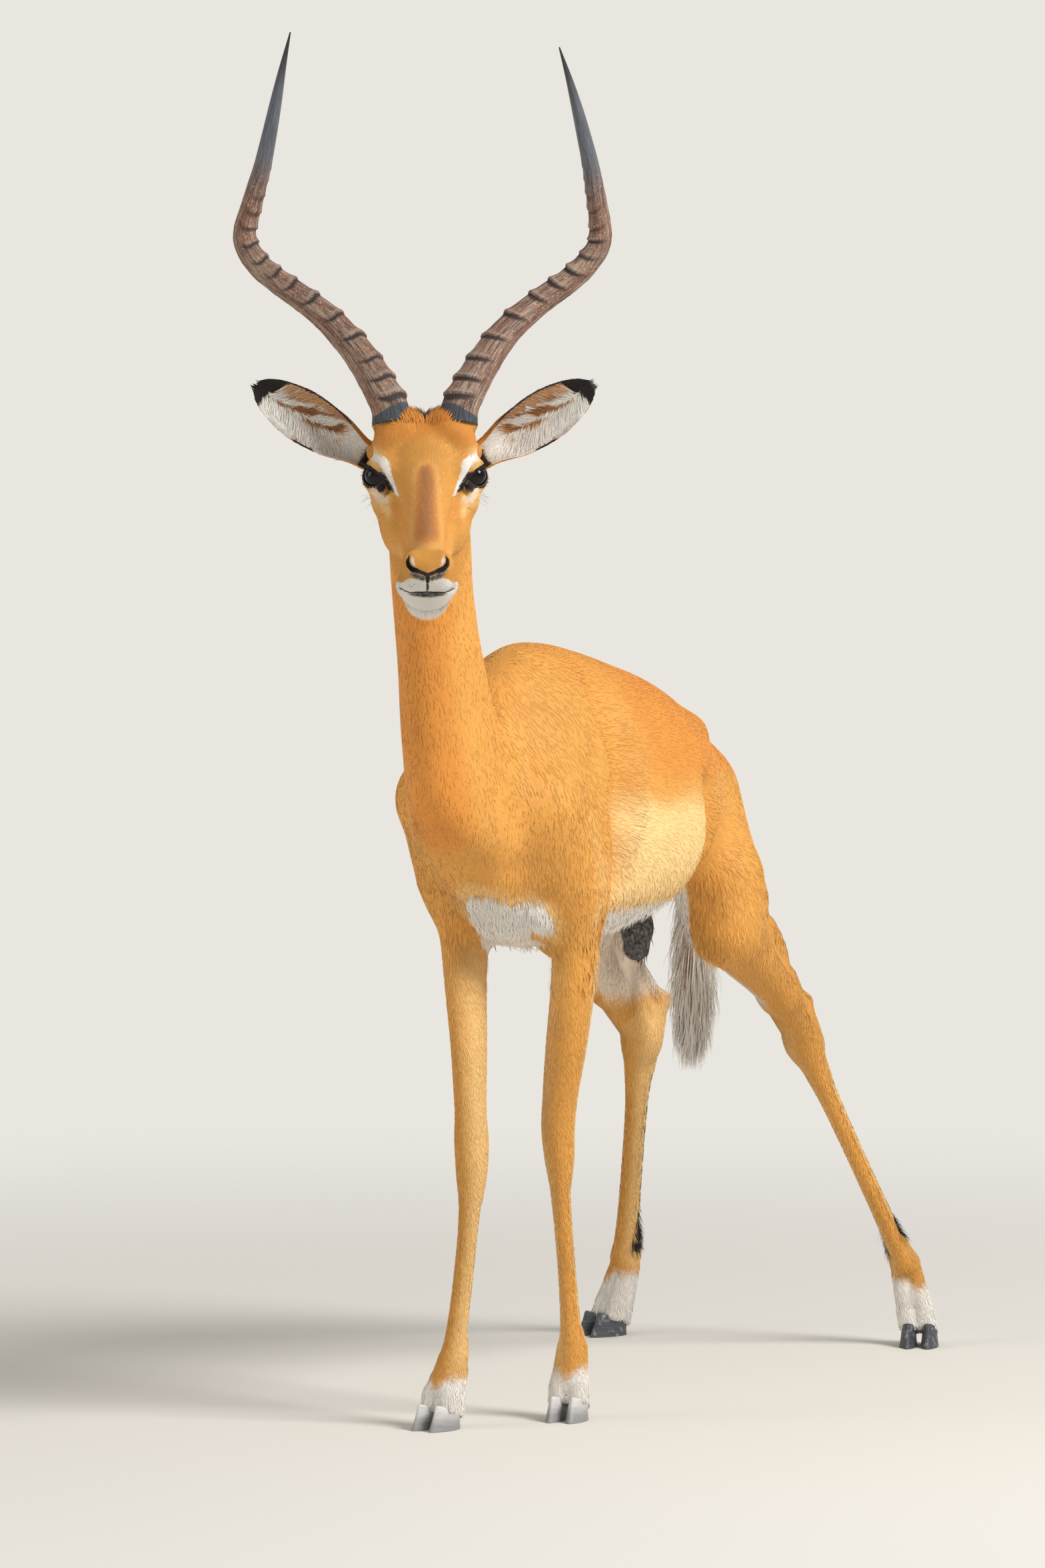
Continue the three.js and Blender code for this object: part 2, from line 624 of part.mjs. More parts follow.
function earSolid(side) {
  const [root, tip] = [v3(levelPoint(side)(EAR_ROOT)), v3(levelPoint(side)(EAR_TIP))];
  const length = root.distanceTo(tip);
  const along = tip.clone().sub(root).normalize();
  const facing = v3(levelPoint(side)([EAR_ROOT[0] + 0.25, EAR_ROOT[1] + 1, EAR_ROOT[2] - 0.1])).sub(root);
  const across = along.clone().cross(facing).normalize().multiplyScalar(side);
  const out = across.clone().cross(along).normalize().multiplyScalar(side); // towards the open side
  const [rows, columns] = [10, 6];
  const point = (u, w, inner) => {
    const half = earHalfWidth(u);
    const bend = earCup(u);
    const r = half / Math.sin(Math.min(bend, Math.PI / 2));
    const a = w * bend;
    const depth = r * (Math.cos(bend) - Math.cos(a)); // 0 at the edges, behind them in the middle
    const thick = inner ? 0 : EAR_THICKNESS * Math.min(1, (1.05 - u) * 4);
    const p = root.clone().addScaledVector(along, u * length);
    p.addScaledVector(across, (r + (inner ? 0 : thick)) * Math.sin(a));
    return p.addScaledVector(out, depth - thick * Math.cos(a)).toArray();
  };
  const points = [];
  const ring = 2 * (columns + 1);
  for (let i = 0; i <= rows; i++) {
    const u = i / rows;
    for (let j = 0; j <= columns; j++) points.push(...point(u, (2 * j) / columns - 1, true));
    for (let j = columns; j >= 0; j--) points.push(...point(u, (2 * j) / columns - 1, false));
  }
  const faces = [];
  for (let i = 0; i < rows; i++)
    for (let j = 0; j < ring; j++) {
      const [a, b] = [i * ring, (i + 1) * ring];
      const k = (j + 1) % ring;
      faces.push(a + j, b + k, a + k, a + j, b + j, b + k);
    }
  for (const [row, flip] of [[0, false], [rows, true]])
    for (let j = 0; j < columns; j++) {
      const a = row * ring;
      const [p, q, r, s] = [a + j, a + j + 1, a + ring - 2 - j, a + ring - 1 - j];
      faces.push(...(flip ? [p, r, q, p, s, r] : [p, q, r, p, r, s]));
    }
  return closed(points, faces);
}

// ---------------------------------------------------------------- claws
// One foot's two claws stand flat on the ground. The tops lie in one plane that falls to the heel.
const CLAW = { toe: 31, heel: 25, topBack: 7, toeHeight: 34, heelHeight: 17 };

function footFrame({ ground, toeOut }) {
  const a = rad(toeOut);
  return frame(ground, [Math.cos(a), Math.sin(a), 0], [0, 0, 1]); // local -y is the way the toe points
}

function clawSolid(foot, way) {
  const fr = footFrame(foot);
  const count = 12;
  // A claw's outline: flat inside, round outside, drawn out to a blunt toe.
  const outline = (scale, shift) => {
    const ring = [];
    for (let j = 0; j < count; j++) {
      const a = (2 * Math.PI * j) / count;
      const front = Math.cos(a) > 0;
      const x = Math.sin(a) * CLAW_RADIUS * scale * (front ? 1 - 0.3 * Math.cos(a) ** 2 : 1);
      const y = -Math.cos(a) * (front ? CLAW.toe : CLAW.heel) * scale + shift;
      const inside = Math.max(x * way, -CLAW_RADIUS * 0.8) * way;
      ring.push([way * (CLAW_RADIUS + 0.6) + inside, y]);
    }
    return ring;
  };
  const top = (y) => {
    const t = (y + CLAW.toe) / (CLAW.toe + CLAW.heel);
    return CLAW.toeHeight + (CLAW.heelHeight - CLAW.toeHeight) * t;
  };
  const points = [];
  for (const [x, y] of outline(1, 0)) points.push(...fr.world([x, y, 0]));
  for (const [x, y] of outline(0.8, CLAW.topBack)) points.push(...fr.world([x, y, top(y)]));
  points.push(...fr.world([way * CLAW_RADIUS, 0, 0]));
  points.push(...fr.world([way * CLAW_RADIUS, CLAW.topBack, top(CLAW.topBack)]));
  const faces = [];
  for (let j = 0; j < count; j++) {
    const k = (j + 1) % count;
    faces.push(j, k, count + k, j, count + k, count + j);
    faces.push(2 * count, k, j, 2 * count + 1, count + j, count + k);
  }
  return closed(points, faces);
}

// The part of a leg above its claws.
function aboveClaws(foot) {
  const fr = footFrame(foot);
  const drop = (CLAW.toeHeight - CLAW.heelHeight) / (CLAW.toe + CLAW.heel);
  const point = fr.world([0, -CLAW.toe, CLAW.toeHeight + 0.2]);
  const tip = fr.world([0, drop, 1]);
  const normal = v3(tip).sub(v3(fr.world([0, 0, 0]))).toArray();
  return { point, normal };
}

// ---------------------------------------------------------------- assembly
const COLOURS = {
  coat: [0xb97a3f, 0.85],
  white: [0xe8e2d8, 0.9],
  horn: [0x5b4a42, 0.6],
  claw: [0x33363b, 0.5],
  eye: [0x14100e, 0.1],
  skin: [0x3a322e, 0.7],
};
const impala = new THREE.Group();
function add(name, manifold, finish) {
  const [color, roughness] = COLOURS[finish];
  const material = new THREE.MeshStandardMaterial({ color, roughness, metalness: 0 });
  const mesh = new THREE.Mesh(geometryOf(manifold), material);
  mesh.name = name;
  impala.add(mesh);
}

const seats = [];
for (const [name, s] of Object.entries(SIDES)) {
  const { horn, seat } = hornSolids(name);
  seats.push(seat);
  add("horn_" + name, horn, "horn");
  const centre = onHead(EYE_OUT * s, 0, 0);
  const ball = new THREE.SphereGeometry(EYE_RADIUS, 10, 7).translate(...centre);
  const socket = new THREE.SphereGeometry(EYE_RADIUS + 0.8, 10, 7).translate(...centre);
  add("eye_" + name, solidOf(ball), "eye");
  seats.push(solidOf(socket));
}

const headBox = [[-95, -481, 903], [150, -130, 1215]];
const headBlock = meshField(flesh, ...headBox, [12, 12, 12]);
const grownHead = meshField((p) => flesh(p) - 0.9, ...headBox, [12, 12, 12]);
for (const [name, s] of Object.entries(SIDES))
  add("ear_" + name, largest(earSolid(s).subtract(grownHead)), "coat");

let head = headBlock.intersect(region(NECK_TO_HEAD, GAP));
for (const seat of seats) head = head.subtract(seat);
add("head", largest(head), "coat");

const neckPath = [...NECK.slice(0, -1).map(([z, y]) => [0, y, z]), onHead(0, -50, -10)];
const neck = skinAlong(flesh, neckPath, 36, 16, 106)
  .subtract(region(NECK_TO_HEAD, 0))
  .subtract(region(THROAT_FRONT, 0))
  .intersect(region(TRUNK_TO_NECK, GAP));
add("neck", largest(neck), "coat");

const trunkPath = [
  [0, -172, 660],
  [0, -110, 682],
  [0, -20, 706],
  [0, 200, 708],
  [0, 400, 704],
  [0, 580, 678],
];
const tailPath = TAIL.map(([z, y]) => [TAIL_SIDE, y, z]);
const tailMesh = (grow) => skinAlong((p) => tailField(p) - grow, tailPath, 32, 10, 60);
add("tail", tailMesh(0), "white");
const tailSeat = tailMesh(0.6);

const trunkMesh = (grow) => skinAlong((p) => body(p) - grow, trunkPath, 27, 28, 260);
let trunk = trunkMesh(0)
  .subtract(region(TRUNK_TO_NECK, 0))
  .subtract(tailSeat);
for (const s of Object.values(SIDES))
  trunk = trunk.subtract(region(foreRegion(s), -GAP)).subtract(region(hindRegion(s), -GAP));
add("trunk", largest(trunk), "coat");

// The scrotum hangs from the groin, ahead of the thighs.
const pouchField = smoothUnion([
  bone([0, 392, 590], [0, 390, 535], 16, 21, 10),
  bone([0, 390, 535], [0, 388, 512], 21, 19, 10),
]);
const pouchPath = [[0, 392, 600], [0, 390, 530], [0, 388, 500]];
const pouchMesh = (grow) => skinAlong((p) => pouchField(p) - grow, pouchPath, 16, 10, 40);
add("scrotum", largest(pouchMesh(0).subtract(trunkMesh(0.6))), "skin");
const seatsBehind = tailSeat.add(pouchMesh(0.6));

for (const [name, s] of Object.entries(SIDES)) {
  const [fore, hind] = [FORE_FOOT[name], HIND_FOOT[name]];
  const knee = FORE_LEG[name].slice(2).map(([z, x, y]) => [x * s, y, z]).reverse();
  const forePath = [[76 * s, knee[0][1], 680], ...knee, fore.coronet, [...fore.ground.slice(0, 2), 6]];
  const foreleg = skinAlong(flesh, forePath, 26, 12, 120);
  const forePart = region([...foreRegion(s), aboveClaws(fore)]);
  add("foreleg_" + name, largest(foreleg.intersect(forePart)), "coat");
  const thigh = [[78, 470, 790], [86, 462, 700], [94, 455, 610], [106, 540, 482]];
  const shank = [HOCK[name], hind.fetlock, hind.coronet, [...hind.ground.slice(0, 2), 6]];
  const hindPath = [...thigh.map((p) => mirror(p, s)), ...shank];
  const hindleg = skinAlong(flesh, hindPath, 28, 12, 150).subtract(seatsBehind);
  const hindPart = region([...hindRegion(s), aboveClaws(hind)]);
  add("hindleg_" + name, largest(hindleg.intersect(hindPart)), "coat");
  for (const [place, way] of [["left", 1], ["right", -1]]) {
    add("claw_fore_" + name + "_" + place, clawSolid(fore, way), "claw");
    add("claw_hind_" + name + "_" + place, clawSolid(hind, way), "claw");
  }
}

// The origin is on the floor, under the middle of the whole ram's box.
const box = new THREE.Box3().setFromObject(impala);
const centre = box.getCenter(new THREE.Vector3());
impala.position.set(-centre.x, -centre.y, -box.min.z);

export default impala;
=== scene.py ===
# %% [markdown]
# A standing impala ram.
#
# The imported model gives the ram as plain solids. This notebook dresses them: one skin, a coat of
# short mesh tufts, ringed horns, leaf-shaped ears, wet eyes and cloven hooves. The ram stands
# still, so every piece rides on the one body, called root.

# %% The fixed frame
import itertools
import json
import math
import bpy
import numpy as np
from numpy.linalg import norm
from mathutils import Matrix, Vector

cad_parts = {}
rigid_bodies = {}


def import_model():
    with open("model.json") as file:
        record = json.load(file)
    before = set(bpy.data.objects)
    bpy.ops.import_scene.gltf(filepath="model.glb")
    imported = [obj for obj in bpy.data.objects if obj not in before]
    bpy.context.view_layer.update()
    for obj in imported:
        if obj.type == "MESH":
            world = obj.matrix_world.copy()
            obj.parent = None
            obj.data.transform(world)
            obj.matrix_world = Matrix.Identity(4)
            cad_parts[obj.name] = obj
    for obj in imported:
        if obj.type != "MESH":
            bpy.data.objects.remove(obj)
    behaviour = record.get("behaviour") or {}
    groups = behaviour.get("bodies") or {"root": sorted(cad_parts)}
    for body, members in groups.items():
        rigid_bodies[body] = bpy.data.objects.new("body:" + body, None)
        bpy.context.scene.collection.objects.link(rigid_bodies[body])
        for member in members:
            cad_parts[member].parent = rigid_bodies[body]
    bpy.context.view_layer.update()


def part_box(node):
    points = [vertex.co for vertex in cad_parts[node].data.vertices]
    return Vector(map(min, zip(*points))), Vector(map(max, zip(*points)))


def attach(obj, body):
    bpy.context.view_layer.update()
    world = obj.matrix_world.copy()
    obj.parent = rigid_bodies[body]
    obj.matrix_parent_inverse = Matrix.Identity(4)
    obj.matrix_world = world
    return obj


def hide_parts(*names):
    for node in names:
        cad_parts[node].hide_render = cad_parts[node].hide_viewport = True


for leftover in list(bpy.data.objects):
    bpy.data.objects.remove(leftover)
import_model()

# %% [markdown]
# The shapes are thought of in millimetres, in the ram's own space: the ground between its fore
# feet is the origin, its left is +X, it faces -Y and up is +Z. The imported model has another
# origin. The left eyeball is one plain ball, so its box says exactly how far apart the two are.

# %% From the ram's own millimetres to the frame's metres
HEAD_YAW = 24.6  # degrees to the ram's left
HEAD_PITCH = 36.5  # degrees, muzzle below level
EYE_MIDDLE = np.array([30.0, -303.0, 1100.0])  # halfway between the eyes
EYE_OUT = 51.0  # from there to the middle of an eyeball
EYE_RADIUS = 17.0
SIDES = {"left": 1, "right": -1}


def unit(v):
    v = np.asarray(v, float)
    return v / norm(v, axis=-1, keepdims=True)


def axes(x, z):
    """Rows x, y, z of a local frame whose z is given and whose x is near the given x."""
    z = unit(z)
    y = unit(np.cross(z, x))
    return np.array([np.cross(y, z), y, z])


yaw, pitch = math.radians(HEAD_YAW), math.radians(HEAD_PITCH)
MUZZLE = np.array([math.sin(yaw) * math.cos(pitch), -math.cos(yaw) * math.cos(pitch), -math.sin(pitch)])
ACROSS = np.array([math.cos(yaw), math.sin(yaw), 0.0])
HEAD = (EYE_MIDDLE, axes(ACROSS, MUZZLE))
HEADING = (EYE_MIDDLE, axes(ACROSS, [0, 0, 1]))
UPRIGHT = (np.zeros(3), axes([1, 0, 0], [0, 0, 1]))
LENGTHWISE = (np.zeros(3), axes([1, 0, 0], [0, 1, 0]))


def to_local(fr, p):
    return (np.asarray(p, float) - fr[0]) @ fr[1].T


def to_world(fr, q):
    return fr[0] + np.asarray(q, float) @ fr[1]


def on_head(side, along, up):
    """A point of the head: side (left +), along the muzzle, up out of the face."""
    return to_world(HEAD, [side, up, along])


eye_low, eye_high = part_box("eye_left")
eye_centre = (np.array(eye_low) + np.array(eye_high)) / 2
SHIFT = eye_centre - on_head(EYE_OUT, 0, 0) / 1000
print("the frame's origin lies", np.round(-SHIFT * 1000, 1), "mm from the ram's own")

# %% [markdown]
# The camera stands where a person with a long lens would: 14 m away, a little above the ram's
# head, looking slightly down. A long lens keeps the horns and the hind feet at their true sizes.

# %% Camera
def new_object(name, data):
    made = bpy.data.objects.new(name, data)
    bpy.context.collection.objects.link(made)
    return made


CAMERA_TURN = 22.96  # degrees from straight ahead, towards the ram's left
CAMERA_AWAY = 14.0
CAMERA_HEIGHT = 1.902
CAMERA_DOWN = 4.773  # degrees below level
CAMERA_SWING = 0.073  # degrees off the ram
turn = math.radians(CAMERA_TURN)
spot = SHIFT + np.array([math.sin(turn) * CAMERA_AWAY, -math.cos(turn) * CAMERA_AWAY, CAMERA_HEIGHT])
lens_data = bpy.data.cameras.new("camera")
lens_data.sensor_fit = "VERTICAL"
lens_data.sensor_height = 36.0
lens_data.lens = 284.0
lens_data.clip_end = 100.0
camera = new_object("camera", lens_data)
camera.location = spot
camera.rotation_euler = (math.radians(90.0 - CAMERA_DOWN), 0.0, turn - math.radians(CAMERA_SWING))
bpy.context.scene.camera = camera
print("camera at", np.round(spot, 3))

# %% [markdown]
# An animal's body has no flat or straight places to measure from, so it is made as a field: a
# function that says for any point how far it is from the hide, negative inside. Three simple
# forms make the field. A tube follows stations along a line, a bone is a rod with round ends, and
# a blob is an ellipsoid. Where two forms meet, a smooth union blends them like muscle over bone.

# %% Forms
def spline(xs, ys):
    """A smooth curve through stations, sampled once and then read by interpolation."""
    xs, ys = np.array(xs, float), np.array(ys, float)
    n = len(xs)
    before, after = np.maximum(np.arange(n) - 1, 0), np.minimum(np.arange(n) + 1, n - 1)
    slope = (ys[after] - ys[before]) / (xs[after] - xs[before])
    t = np.linspace(xs[0], xs[-1], 400)
    i = np.clip(np.searchsorted(xs, t, side="right") - 1, 0, n - 2)
    h = xs[i + 1] - xs[i]
    u = (t - xs[i]) / h
    w = u * u * (3 - 2 * u)
    bend = slope[i] * u * (1 - u) ** 2 - slope[i + 1] * u * u * (1 - u)
    values = ys[i] * (1 - w) + ys[i + 1] * w + h * bend
    return lambda x: np.interp(x, t, values)


def round_distance(q, r):
    """Distance to an ellipsoid of radii r, true close to its surface."""
    k0 = np.sqrt(sum((q[i] / r[i]) ** 2 for i in range(3)))
    k1 = np.sqrt(sum((q[i] / (r[i] * r[i])) ** 2 for i in range(3)))
    return k0 * (k0 - 1) / np.maximum(k1, 1e-9)


def tube(fr, stations, blend, end_reach=30.0):
    """Stations: [along, middle x, middle y, half width x, half width y, egg], egg 0 if left out."""
    table = np.array([list(s) + [0.0] * (6 - len(s)) for s in stations], float)
    along = table[:, 0]
    cx, cy, rx, ry, egg = [spline(along, table[:, c]) for c in range(1, 6)]

    def field(p):
        q = to_local(fr, p)
        z = np.clip(q[:, 2], along[0], along[-1])
        b = ry(z)
        y = q[:, 1] - cy(z)
        wide = rx(z) * (1 + egg(z) * np.clip(y / b, -1, 1))
        return round_distance((q[:, 0] - cx(z), y, q[:, 2] - z), (wide, b, end_reach))

    middles = to_world(fr, np.stack([table[:, 1], table[:, 2], along], 1))
    reach = table[:, 3:5].max() * 1.3 + end_reach
    return field, blend, middles.min(0) - reach, middles.max(0) + reach


def from_line(p, a, b):
    """How far along the straight line from a to b points lie, 0 to 1, and how far from it in mm."""
    line = b - a
    t = np.clip((p - a) @ line / (line @ line), 0, 1)
    return t, norm(p - a - t[:, None] * line, axis=1)


def bone(a, b, ra, rb, blend):
    """A rod with round ends, whose radius goes from ra to rb."""
    a, b = np.array(a, float), np.array(b, float)

    def field(p):
        t, away = from_line(p, a, b)
        return away - ra - (rb - ra) * t * t * (3 - 2 * t)

    reach = max(ra, rb)
    return field, blend, np.minimum(a, b) - reach, np.maximum(a, b) + reach


def blob(fr, centre, radii, blend):
    """An ellipsoid whose axes are those of the frame fr, or of the ram's space if there is none."""
    c = to_local(fr, centre) if fr else np.array(centre, float)

    def field(p):
        q = (to_local(fr, p) if fr else p) - c
        return round_distance((q[:, 0], q[:, 1], q[:, 2]), radii)

    centre = np.array(centre, float)
    return field, blend, centre - max(radii), centre + max(radii)


NEAR = 60.0  # a form is only worked out for points this close to its box


def joined(d, e, blend):
    """The smooth union of two fields."""
    h = np.maximum(blend - np.abs(d - e), 0) / blend
    return np.minimum(d, e) - h * h * blend / 4


def united(forms):
    """Smooth union of forms. Far from every form the field just says far."""

    def field(p):
        d = np.full(len(p), 900.0)
        for own, blend, low, high in forms:
            close = np.nonzero(((p > low - NEAR) & (p < high + NEAR)).all(1))[0]
            if len(close) == 0:
                continue
            d[close] = joined(d[close], own(p[close]), blend)
        return d

    return field


def carved(d, e, blend):
    """The field d with the form e smoothly cut out of it."""
    h = np.maximum(blend - np.abs(d + e), 0) / blend
    return np.maximum(d, -e) + h * h * blend / 4


# %% [markdown]
# The trunk, the neck and the head are tubes. A ram's chest is deep and narrow, its belly tucks
# up to the flank, and its neck is thick from the side but slim from the front.

# %% Trunk, neck and head forms
TRUNK = [  # Y, half width, top, bottom, egg (a positive egg widens the belly)
    [-95, 50, 790, 650, 0],
    [-50, 78, 860, 598, 0.15],
    [10, 100, 892, 552, 0.25],
    [80, 114, 893, 545, 0.22],
    [160, 131, 880, 541, 0.16],
    [240, 140, 862, 543, 0.14],
    [320, 133, 843, 560, 0.14],
    [390, 108, 819, 590, 0.12],
    [450, 86, 784, 612, 0.1],
    [510, 62, 744, 628, 0],
    [550, 40, 706, 638, 0],
]
NECK = [  # Z, middle Y, half width, half depth
    [612, -40, 40, 26],
    [648, -70, 54, 56],
    [700, -112, 57, 104],
    [790, -156, 52, 96],
    [884, -187, 48, 77],
    [960, -211, 46, 58],
    [1030, -222, 46, 54],
    [1090, -235, 45, 50],
    [1130, -246, 40, 40],
]
CRANIUM = [  # along the muzzle, half width, top, bottom, egg
    [-92, 38, 6, -46, 0],
    [-62, 47, 31, -68, 0],
    [-32, 50, 50, -84, 0.1],
    [0, 49, 49, -89, 0.15],
    [30, 42, 38, -86, 0.1],
    [65, 32, 24, -80, -0.05],
    [100, 28, 12, -77, -0.15],
    [125, 28, 6, -75, -0.2],
    [146, 26, -2, -68, -0.2],
]
trunk_rows = [[y, 0, -(top + low) / 2, w, (top - low) / 2, egg] for y, w, top, low, egg in TRUNK]
trunk_form = tube(LENGTHWISE, trunk_rows, 40)
neck_form = tube(UPRIGHT, [[z, 0, y, w, d] for z, y, w, d in NECK], 60, 15)
head_rows = [[s, 0, (top + low) / 2, w, (top - low) / 2, egg] for s, w, top, low, egg in CRANIUM]
head_forms = [
    tube(HEAD, head_rows, 30, 16),
    blob(HEAD, on_head(0, 146, -16), [22, 20, 18], 12),  # nose
    blob(HEAD, on_head(0, 139, -41), [35, 21, 15], 12),  # upper lip
    blob(HEAD, on_head(0, 124, -68), [23, 19, 24], 14),  # chin
    bone(on_head(-18, -50, 34), on_head(18, -50, 34), 15, 15, 16),  # crown between the horns
]
for s in SIDES.values():
    head_forms += [
        blob(HEAD, on_head(44 * s, -2, 10), [19, 24, 28], 16),  # brow and eye socket
        blob(HEAD, on_head(33 * s, 18, -46), [18, 34, 44], 28),  # cheek
        blob(HEAD, on_head(17 * s, 141, -10), [12.5, 16, 16], 10),  # wing of the nostril
        bone(on_head(30 * s, -38, 24), on_head(36 * s, -44, 35), 22, 25, 14),  # horn's pedicle
        bone(on_head(38 * s, -50, -10), on_head(52 * s, -50, -6), 22, 14, 16),  # ear's root
    ]
HORN_FOOT = [  # a ring of skin round the horn: side, forward and up in the level frame
    (19, -8, 56), (26, 6, 50), (38, 8, 42), (48, 2, 34), (51, -8, 30), (48, -20, 34),
    (37, -27, 42), (22, -22, 52),
]
for s in SIDES.values():
    ring = [to_world(HEADING, [side * s, -ahead, up]) for side, ahead, up in HORN_FOOT]
    head_forms += [bone(a, b, 6, 6, 20) for a, b in zip(ring, ring[1:] + ring[:1])]
    head_forms += [blob(HEAD, on_head(43 * s, 10, -19), [18, 24, 24], 16)]  # under the eye
print(len(head_forms), "forms make the head")

# %% [markdown]
# The legs are thin where they are only bone and tendon and swell at each joint. The hind legs
# stand far back and apart, which gives the ram its ready stance.

# %% Leg forms
STIFLE = [101, 412, 538]
HOCK = {"left": [102, 660, 380], "right": [-108, 668, 374]}
HEEL = {"left": [100, 660, 426], "right": [-86, 672, 420]}  # the point of the hock
FOOT = {  # fetlock, coronet, ground, degrees that the toes turn out
    ("hind", "left"): ([168, 824, 101], [179, 834, 38], [184, 830, 0], 16),
    ("hind", "right"): ([-180, 792, 96], [-198, 790, 38], [-206, 784, 0], -28),
    ("fore", "left"): ([49, 76, 80], [50, 64, 38], [50, 58, 0], 4),
    ("fore", "right"): ([-47, -46, 78], [-55, -62, 38], [-58, -68, 0], -12),
}
FORE_LEG = {  # Z, outward X, Y, half width, half depth
    "left": [
        [44, 50, 68, 15, 17],
        [80, 49, 78, 17, 21],
        [112, 47.5, 75, 12.5, 17],
        [180, 44.5, 70, 11.2, 15],
        [262, 40, 64, 12.6, 16.5],
        [300, 39, 62, 17.5, 22],
        [336, 39, 58, 19.5, 25],
        [375, 42, 58, 21, 25],
        [430, 50, 56, 24, 32],
        [500, 60, 52, 26, 41],
        [570, 69, 42, 29, 48],
        [610, 74, 30, 32, 52],
    ],
    "right": [
        [44, 53, -58, 15, 17],
        [78, 47, -45, 17, 21],
        [110, 43.5, -42, 13.5, 17],
        [180, 36, -38, 12.8, 15],
        [250, 30, -36, 13.8, 16.5],
        [290, 29, -34, 18.5, 22],
        [325, 30, -32, 20, 25],
        [362, 33, -28, 18.5, 24],
        [430, 40, -16, 20, 32],
        [500, 49, -4, 23.5, 41],
        [570, 60, 14, 29, 48],
        [610, 69, 18, 32, 52],
    ],
}


def toes(fetlock, coronet, ground, out):
    """Two toes with the bulbs of their heels."""
    c, s = math.cos(math.radians(out)), math.sin(math.radians(out))

    def at(p, side, back, z):
        return [p[0] + c * side - s * back, p[1] + s * side + c * back, z]

    made = []
    for way in (1, -1):
        made += [
            bone(at(fetlock, 7 * way, 0, fetlock[2]), at(coronet, 11 * way, 0, coronet[2]), 12, 13, 5),
            bone(at(coronet, 11 * way, 0, coronet[2]), at(ground, 11.5 * way, -4, 8), 13, 13, 5),
            bone(at(fetlock, 6 * way, 6, fetlock[2] - 14), at(ground, 11 * way, 20, 12), 10, 11.5, 6),
        ]
    return made


def limb_forms(name):
    s = SIDES[name]

    def at(x, y, z):
        return [x * s, y, z]

    hock, heel, calf = HOCK[name], HEEL[name], at(108, 565, 448)
    fetlock, _, _, out = FOOT["hind", name]
    shin_line = np.array(fetlock, float) - hock
    length = norm(shin_line)
    c, t = math.cos(math.radians(out)), math.sin(math.radians(out))
    shin = (np.array(hock, float), axes([c, t, 0], shin_line))
    shin_stations = [
        [-14, 0, 0, 17, 22],
        [12, 0, 0, 19, 25],
        [44, 0, 0, 16, 22],
        [90, 0, 0, 13, 17.5],
        [length * 0.62, 0, 0, 12, 16.5],
        [length - 34, 0, 0, 13.5, 18],
        [length, 0, 0, 18, 22],
    ]
    upper = [
        bone(at(36, 40, 826), at(63, -52, 728), 34, 40, 45),  # shoulder blade
        bone(at(66, -55, 712), at(66, 20, 605), 40, 35, 40),  # upper arm
        blob(None, at(74, 22, 668), [40, 66, 78], 35),  # triceps
        blob(None, at(62, 394, 766), [18, 34, 18], 30),  # hip bone
        bone(at(36, 456, 694), at(84, 432, 590), 50, 57, 45),  # thigh
        bone(at(37, 494, 680), at(84, 490, 560), 42, 42, 40),  # buttock and hamstring
        bone(at(92, 410, 600), at(*STIFLE), 46, 40, 30),  # stifle
    ]
    lower = [
        tube(UPRIGHT, [[z, x * s, y, w, d] for z, x, y, w, d in FORE_LEG[name]], 26, 10),
        bone(at(*STIFLE), calf, 41, 26, 30),  # calf
        bone(calf, hock, 24, 20, 16),
        bone(at(102, 520, 525), heel, 24, 10, 18),  # tendon of the heel
        bone(at(104, 560, 476), (np.array(heel, float) + hock) / 2, 15, 13, 12),
        bone(heel, hock, 12.5, 19, 14),
        tube(shin, shin_stations, 16, 14),
    ]
    return upper, lower + toes(*FOOT["hind", name]) + toes(*FOOT["fore", name])


TAIL = [  # Z, middle Y, half width, half depth, hair included
    [348, 566, 8, 5],
    [390, 570, 21, 9],
    [450, 574, 29, 12],
    [520, 578, 28, 13],
    [590, 578, 22, 13],
    [650, 570, 14, 13],
    [700, 548, 15, 15],
    [722, 530, 15, 15],
]
tail_z, *tail_columns = zip(*TAIL)
tail_middle, tail_width, tail_depth = [spline(tail_z, column) for column in tail_columns]
TAIL_SIDE = -4
core_rows = [[z, TAIL_SIDE, y, 4 + 7 * (z - 420) / 300, 4 + 7 * (z - 420) / 300] for z, y, _, _ in TAIL[2:]]
tail_core = tube(UPRIGHT, core_rows, 14, 8)
pouch = [
    bone([0, 392, 590], [0, 390, 535], 15, 21, 10),
    bone([0, 390, 535], [0, 388, 512], 21, 19, 10),
]
limbs = [limb_forms(name) for name in SIDES]
body_forms = [
    trunk_form,
    neck_form,
    bone([0, -138, 690], [0, -84, 640], 34, 38, 50),  # front of the breastbone
    bone([0, -20, 604], [0, 50, 588], 38, 36, 40),  # brisket
    blob(None, [5, -30, 590], [34, 36, 30], 10),  # its right lobe
    blob(None, [51, -22, 592], [20, 30, 20], 8),  # its left lobe
    *[form for upper, _ in limbs for form in upper],
]
lower_forms = [form for _, lower in limbs for form in lower]
flesh = united(body_forms + head_forms + lower_forms + [tail_core] + pouch)
print(len(body_forms), "forms make the body without its lower legs")

# %% [markdown]
# The fine skin adds what the solids leave out: lids that close round the eyes, the slits of the
# nostrils, the lips, hollows beside the bridge of the nose, and the cords and grooves of the legs.
# Each is a small form that is blended in or carved out. All of the head's numbers are measured
# from the middle between the eyes: to the side, along the muzzle, and up out of the face.

